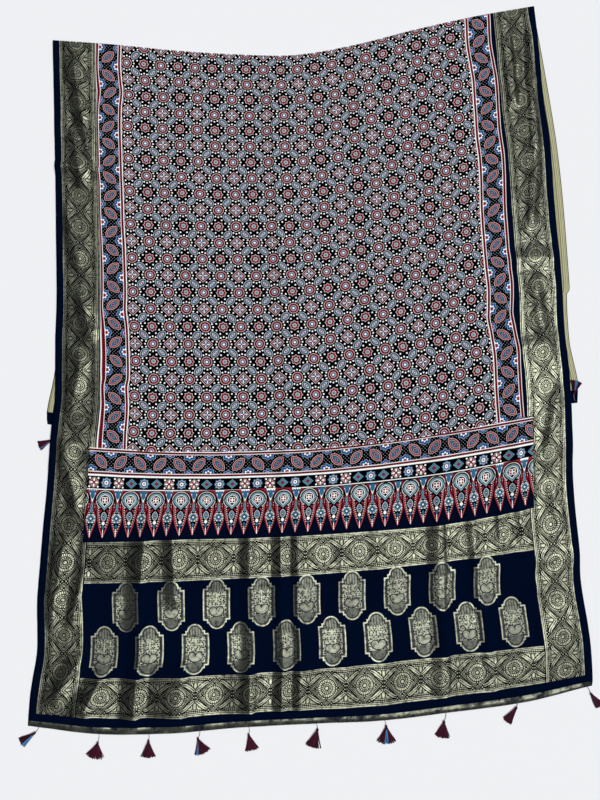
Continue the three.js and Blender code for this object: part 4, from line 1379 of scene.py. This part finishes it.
def skirt_of(tree, seed, index, along):
    share = tree.math("DIVIDE", index, tree.math("SUBTRACT", tree.given("strands"), 1.0))
    side = tree.math("SUBTRACT", share, 0.5)
    fan = tree.math("ADD", tree.math("MULTIPLY", side, tree.given("spread")), tree.random(-0.07, 0.07, index, seed))
    start = tree.vector(tree.math("MULTIPLY", side, 0.0030), -0.0025, 0.0)
    from_blue = tree.math("ABSOLUTE", tree.math("SUBTRACT", share, tree.given("blue_place")))
    blue = tree.math("LESS_THAN", tree.math("MULTIPLY", from_blue, 2.0), tree.given("blue_share"))
    points = tree.node("GeometryNodePoints", tree.given("strands"), start)
    points = tree.mark(points, "strand", share)
    points = tree.mark(points, "strand_shade", tree.random(0.0, 1.0, index, tree.math("ADD", seed, 3.0)))
    points = tree.mark(points, "blue_strand", blue)
    points = tree.mark(points, "level", tree.random(0.0, 1.0, index, tree.math("ADD", seed, 9.0)))
    line = tree.node("GeometryNodeCurvePrimitiveLine", (0, 0, 0), (0, -1, 0))
    line = tree.node("GeometryNodeResampleCurve", line, Count=9)
    own = tree.random(0.88, 0.95, index, tree.math("ADD", seed, 7.0))
    reach = tree.math("MULTIPLY", tree.given("skirt_length"), own)
    turn, size = tree.vector(0.0, 0.0, fan), tree.vector(reach, reach, reach)
    fanned = tree.node("GeometryNodeInstanceOnPoints", points, Instance=line, Rotation=turn, Scale=size)
    fanned = tree.node("GeometryNodeRealizeInstances", fanned)

    wave_x, wave_y = tree.math("MULTIPLY", along, 1.6), tree.math("MULTIPLY", tree.read("strand"), 19.0)
    wave_at = tree.vector(wave_x, wave_y, tree.math("MULTIPLY", seed, 1.7))
    wave = tree.node("ShaderNodeTexNoise", wave_at, Scale=1.0, Detail=1.0, out=1)
    wave = tree.node("ShaderNodeVectorMath", wave, (0.5, 0.5, 0.5), operation="SUBTRACT")
    bend = tree.math("MULTIPLY", tree.math("MULTIPLY", along, along), 0.0085)
    wave = tree.node("ShaderNodeVectorMath", wave, Scale=bend, operation="SCALE")
    wave = tree.node("ShaderNodeVectorMath", wave, (1.0, 0.6, 0.0), operation="MULTIPLY")
    fall = tree.node("ShaderNodeMapRange", along, 0.0, 0.85, 0.0, 1.0, interpolation_type="SMOOTHSTEP")
    level = tree.read("level")
    high = tree.math("MULTIPLY_ADD", level, 0.0022, 0.0012)
    low = tree.math("MULTIPLY_ADD", level, 0.0019, 0.00035)
    lift = tree.node("ShaderNodeMix", fall, None, high, low)
    moved = tree.node("ShaderNodeVectorMath", wave, tree.vector(0.0, 0.0, lift), operation="ADD")
    bent = tree.node("GeometryNodeSetPosition", fanned, Offset=moved)
    return tree.section(bent, tree.node("ShaderNodeMapRange", along, 0.0, 1.0, STRAND_AT_NECK, STRAND_AT_TIP))


def head_of(tree):
    coil = tree.node(
        "GeometryNodeCurveSpiral", 14, Rotations=8.0, Start_Radius=0.0018, End_Radius=0.0021, Height=0.0042)
    coil = tree.section(tree.mark(coil, "strand_shade", 0.25), COIL)
    neck = tree.mark(tree.node("GeometryNodeMeshCylinder", 12, 2, 1, 0.0017, 0.0058), "strand_shade", 0.3)
    neck = tree.node("GeometryNodeTransform", neck, Translation=(0.0, 0.0, 0.0022))
    bud = tree.mark(tree.node("GeometryNodeMeshUVSphere", 12, 8, 0.0022), "strand_shade", 0.5)
    bud = tree.node("GeometryNodeTransform", bud, Translation=(0.0, 0.0, 0.0058), Scale=(1.0, 1.0, 0.8))
    return tree.place(tree.join(coil, neck, bud), (0.0, -0.0052, 0.0024), (math.pi / -2, 0.0, 0.0))


def thread_of(tree, index, along):
    plies = tree.mark(tree.node("GeometryNodePoints", 2, (0, 0, 0)), "ply", index)
    plies = tree.mark(plies, "tie_thread", 1.0)
    core = tree.node("GeometryNodeCurvePrimitiveLine", (0, 0.0016, 0), (0, -1, 0))
    core = tree.node("GeometryNodeResampleCurve", core, Count=26)
    size = tree.vector(1.0, tree.given("thread_length"), 1.0)
    plies = tree.node("GeometryNodeInstanceOnPoints", plies, Instance=core, Scale=size)
    plies = tree.node("GeometryNodeRealizeInstances", plies)
    angle = tree.math("MULTIPLY", tree.read("ply"), math.pi)
    angle = tree.math("ADD", tree.math("MULTIPLY", along, 26.0), angle)
    swing = tree.math("MULTIPLY", tree.math("SINE", tree.math("MULTIPLY", along, math.pi)), 0.0011)
    twist_x = tree.math("MULTIPLY_ADD", tree.math("COSINE", angle), PLY_TWIST, swing)
    twist_z = tree.math("MULTIPLY_ADD", tree.math("SINE", angle), PLY_TWIST, 0.0009)
    plies = tree.node("GeometryNodeSetPosition", plies, Offset=tree.vector(twist_x, 0.0, twist_z))
    return tree.place(tree.section(plies, PLY), tree.given("thread_place"), tree.given("thread_turn"))


def tassel_tree():
    number, vector = ("Float", 0.0), ("Vector", None)
    tree = Tree(
        "tassel plan", strands=("Int", STRANDS), skirt_length=number, spread=number, thread_length=number,
        blue_share=number, blue_place=number, seed=("Int", 1), silk=("Material", None),
        thread_place=vector, thread_turn=vector, neck_place=vector, skirt_turn=vector,
    )
    index = tree.node("GeometryNodeInputIndex")
    along = tree.node("GeometryNodeSplineParameter")
    skirt = skirt_of(tree, tree.given("seed"), index, along)
    turned = tree.place(tree.join(skirt, head_of(tree)), tree.given("neck_place"), tree.given("skirt_turn"))
    whole = tree.join(turned, thread_of(tree, index, along))
    done = tree.node("GeometryNodeRealizeInstances", whole)
    done = tree.node("GeometryNodeSetMaterial", done, None, tree.given("silk"))
    tree.group.links.new(done, tree.group.nodes.new("NodeGroupOutput").inputs[0])
    return tree


tassel_plan = tassel_tree()
print("tassel tree with", len(tassel_plan.group.nodes), "nodes")

# %% The tassels
def make_tassel(end, number, numbers, root_y, floor_z, seed):
    x, thread, thread_heading, skirt, heading, spread, blue_share, blue_place = numbers
    name, aim = f"{end}_tassel_{number:02d}", math.radians(thread_heading)
    neck = (x + thread * math.sin(aim), root_y - thread * math.cos(aim), floor_z)
    piece = bpy.data.objects.new(name, bpy.data.meshes.new(name))
    bpy.context.scene.collection.objects.link(piece)
    modifier = piece.modifiers.new("tassel", "NODES")
    modifier.node_group = tassel_plan.group
    values = {
        "strands": STRANDS, "skirt_length": skirt * MM, "spread": math.radians(spread), "thread_length": thread * MM,
        "blue_share": blue_share, "blue_place": blue_place, "seed": seed, "silk": tassel_material,
        "thread_place": [x * MM, root_y * MM, floor_z * MM], "thread_turn": [0.0, 0.0, aim],
        "neck_place": [v * MM for v in neck], "skirt_turn": [0.0, 0.0, math.radians(heading)],
    }
    for title, value in values.items():
        modifier[tassel_plan.sockets[title]] = value
    shape = bpy.data.meshes.new_from_object(piece.evaluated_get(bpy.context.evaluated_depsgraph_get()))
    piece.modifiers.remove(modifier)
    piece.data = shape
    shape.name = name
    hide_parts(f"tassel_{end}_{number:02d}")
    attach(piece, "root")
    return piece


def hem_y(x, edge_points):
    """The hem's Y at x, between two crossings of the cloth's grid."""
    order = np.argsort(edge_points[:, 0])
    return float(np.interp(x, edge_points[order, 0], edge_points[order, 1]))


tassels = []
for number, numbers in enumerate(FRONT_TASSELS, 1):
    tassels.append(make_tassel("front", number, numbers, hem_y(numbers[0], face_points[0]), 0.0, 10 * number))
for number, numbers in enumerate(BACK_TASSELS, 1):
    root_y, floor_z = hem_y(numbers[0], face_points[-1]), 0.0
    if number == len(BACK_TASSELS):
        root_y, floor_z = TURNED_BACK_Y, THICKNESS + TURNED_BACK_LIFT
    tassels.append(make_tassel("back", number, numbers, root_y, floor_z, 10 * number + 5))
print(len(tassels), "tassels of", len(tassels[0].data.polygons), "faces")

# %% [markdown]
# ## The finishes go on the cloth
# Each face of the sheet already knows its region.

# %% Finishes on the sheet
FINISHES = {
    "hem": hem_material, "side_band": side_band_material, "end_band": end_band_material,
    "cartouches": cartouches_material, "drops": drops_material, "cross_border": cross_border_material,
    "side_border": side_border_material, "field": field_material, "reverse": reverse_material,
}
for region in REGIONS:
    cloth_mesh.materials.append(FINISHES[region])
cloth_mesh.update()
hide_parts("cloth")
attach(cloth, "root")
print("cloth dressed with", len(cloth_mesh.materials), "finishes")

# %% [markdown]
# ## Floor and light
# A plain pale floor, and plain soft light. Gold thread shines only where it mirrors a bright part of the room,
# so a broad soft light stands over the near right side, a weaker one over the far right, and a weak even light
# fills the rest.

# %% Floor
FLOOR_HALF = 6.0
FLOOR_COLOUR = (0.86, 0.87, 0.89, 1.0)
floor_mesh = bpy.data.meshes.new("floor")
turns = ((-1, -1), (1, -1), (1, 1), (-1, 1))
floor_mesh.from_pydata([(x * FLOOR_HALF, y * FLOOR_HALF, 0) for x, y in turns], [], [(0, 1, 2, 3)])
floor = bpy.data.objects.new("floor", floor_mesh)
bpy.context.scene.collection.objects.link(floor)
floor_material = bpy.data.materials.new("pale floor")
floor_material.use_nodes = True
floor_shader = floor_material.node_tree.nodes["Principled BSDF"]
for title, value in (("Base Color", FLOOR_COLOUR), ("Roughness", 0.9), ("Specular IOR Level", 0.1)):
    floor_shader.inputs[title].default_value = value
floor_mesh.materials.append(floor_material)
print("floor laid")

# %% Light
ROOM_COLOUR, ROOM_STRENGTH = (0.95, 0.97, 1.0, 1.0), 0.12
LIGHTS = {  # towards the light, its strength, and how wide it looks in degrees
    "near light": ((0.42, -0.30, 0.85), 2.4, 16), "far light": ((0.22, 0.52, 0.82), 0.9, 16),
}
world = bpy.data.worlds.new("room")
bpy.context.scene.world = world
world.use_nodes = True
world.node_tree.nodes["Background"].inputs["Color"].default_value = ROOM_COLOUR
world.node_tree.nodes["Background"].inputs["Strength"].default_value = ROOM_STRENGTH


def soft_sun(name, direction, strength, spread):
    data = bpy.data.lights.new(name, "SUN")
    data.energy, data.angle = strength, math.radians(spread)
    lamp = bpy.data.objects.new(name, data)
    tilt = math.acos(direction[2] / math.dist(direction, (0, 0, 0)))
    lamp.rotation_euler = (tilt, 0.0, math.atan2(direction[0], -direction[1]))
    bpy.context.scene.collection.objects.link(lamp)


for name, light in LIGHTS.items():
    soft_sun(name, *light)
bpy.context.scene.view_settings.view_transform = "Standard"

# %% [markdown]
# ## The end

# %% The end
print("the stole is dressed")
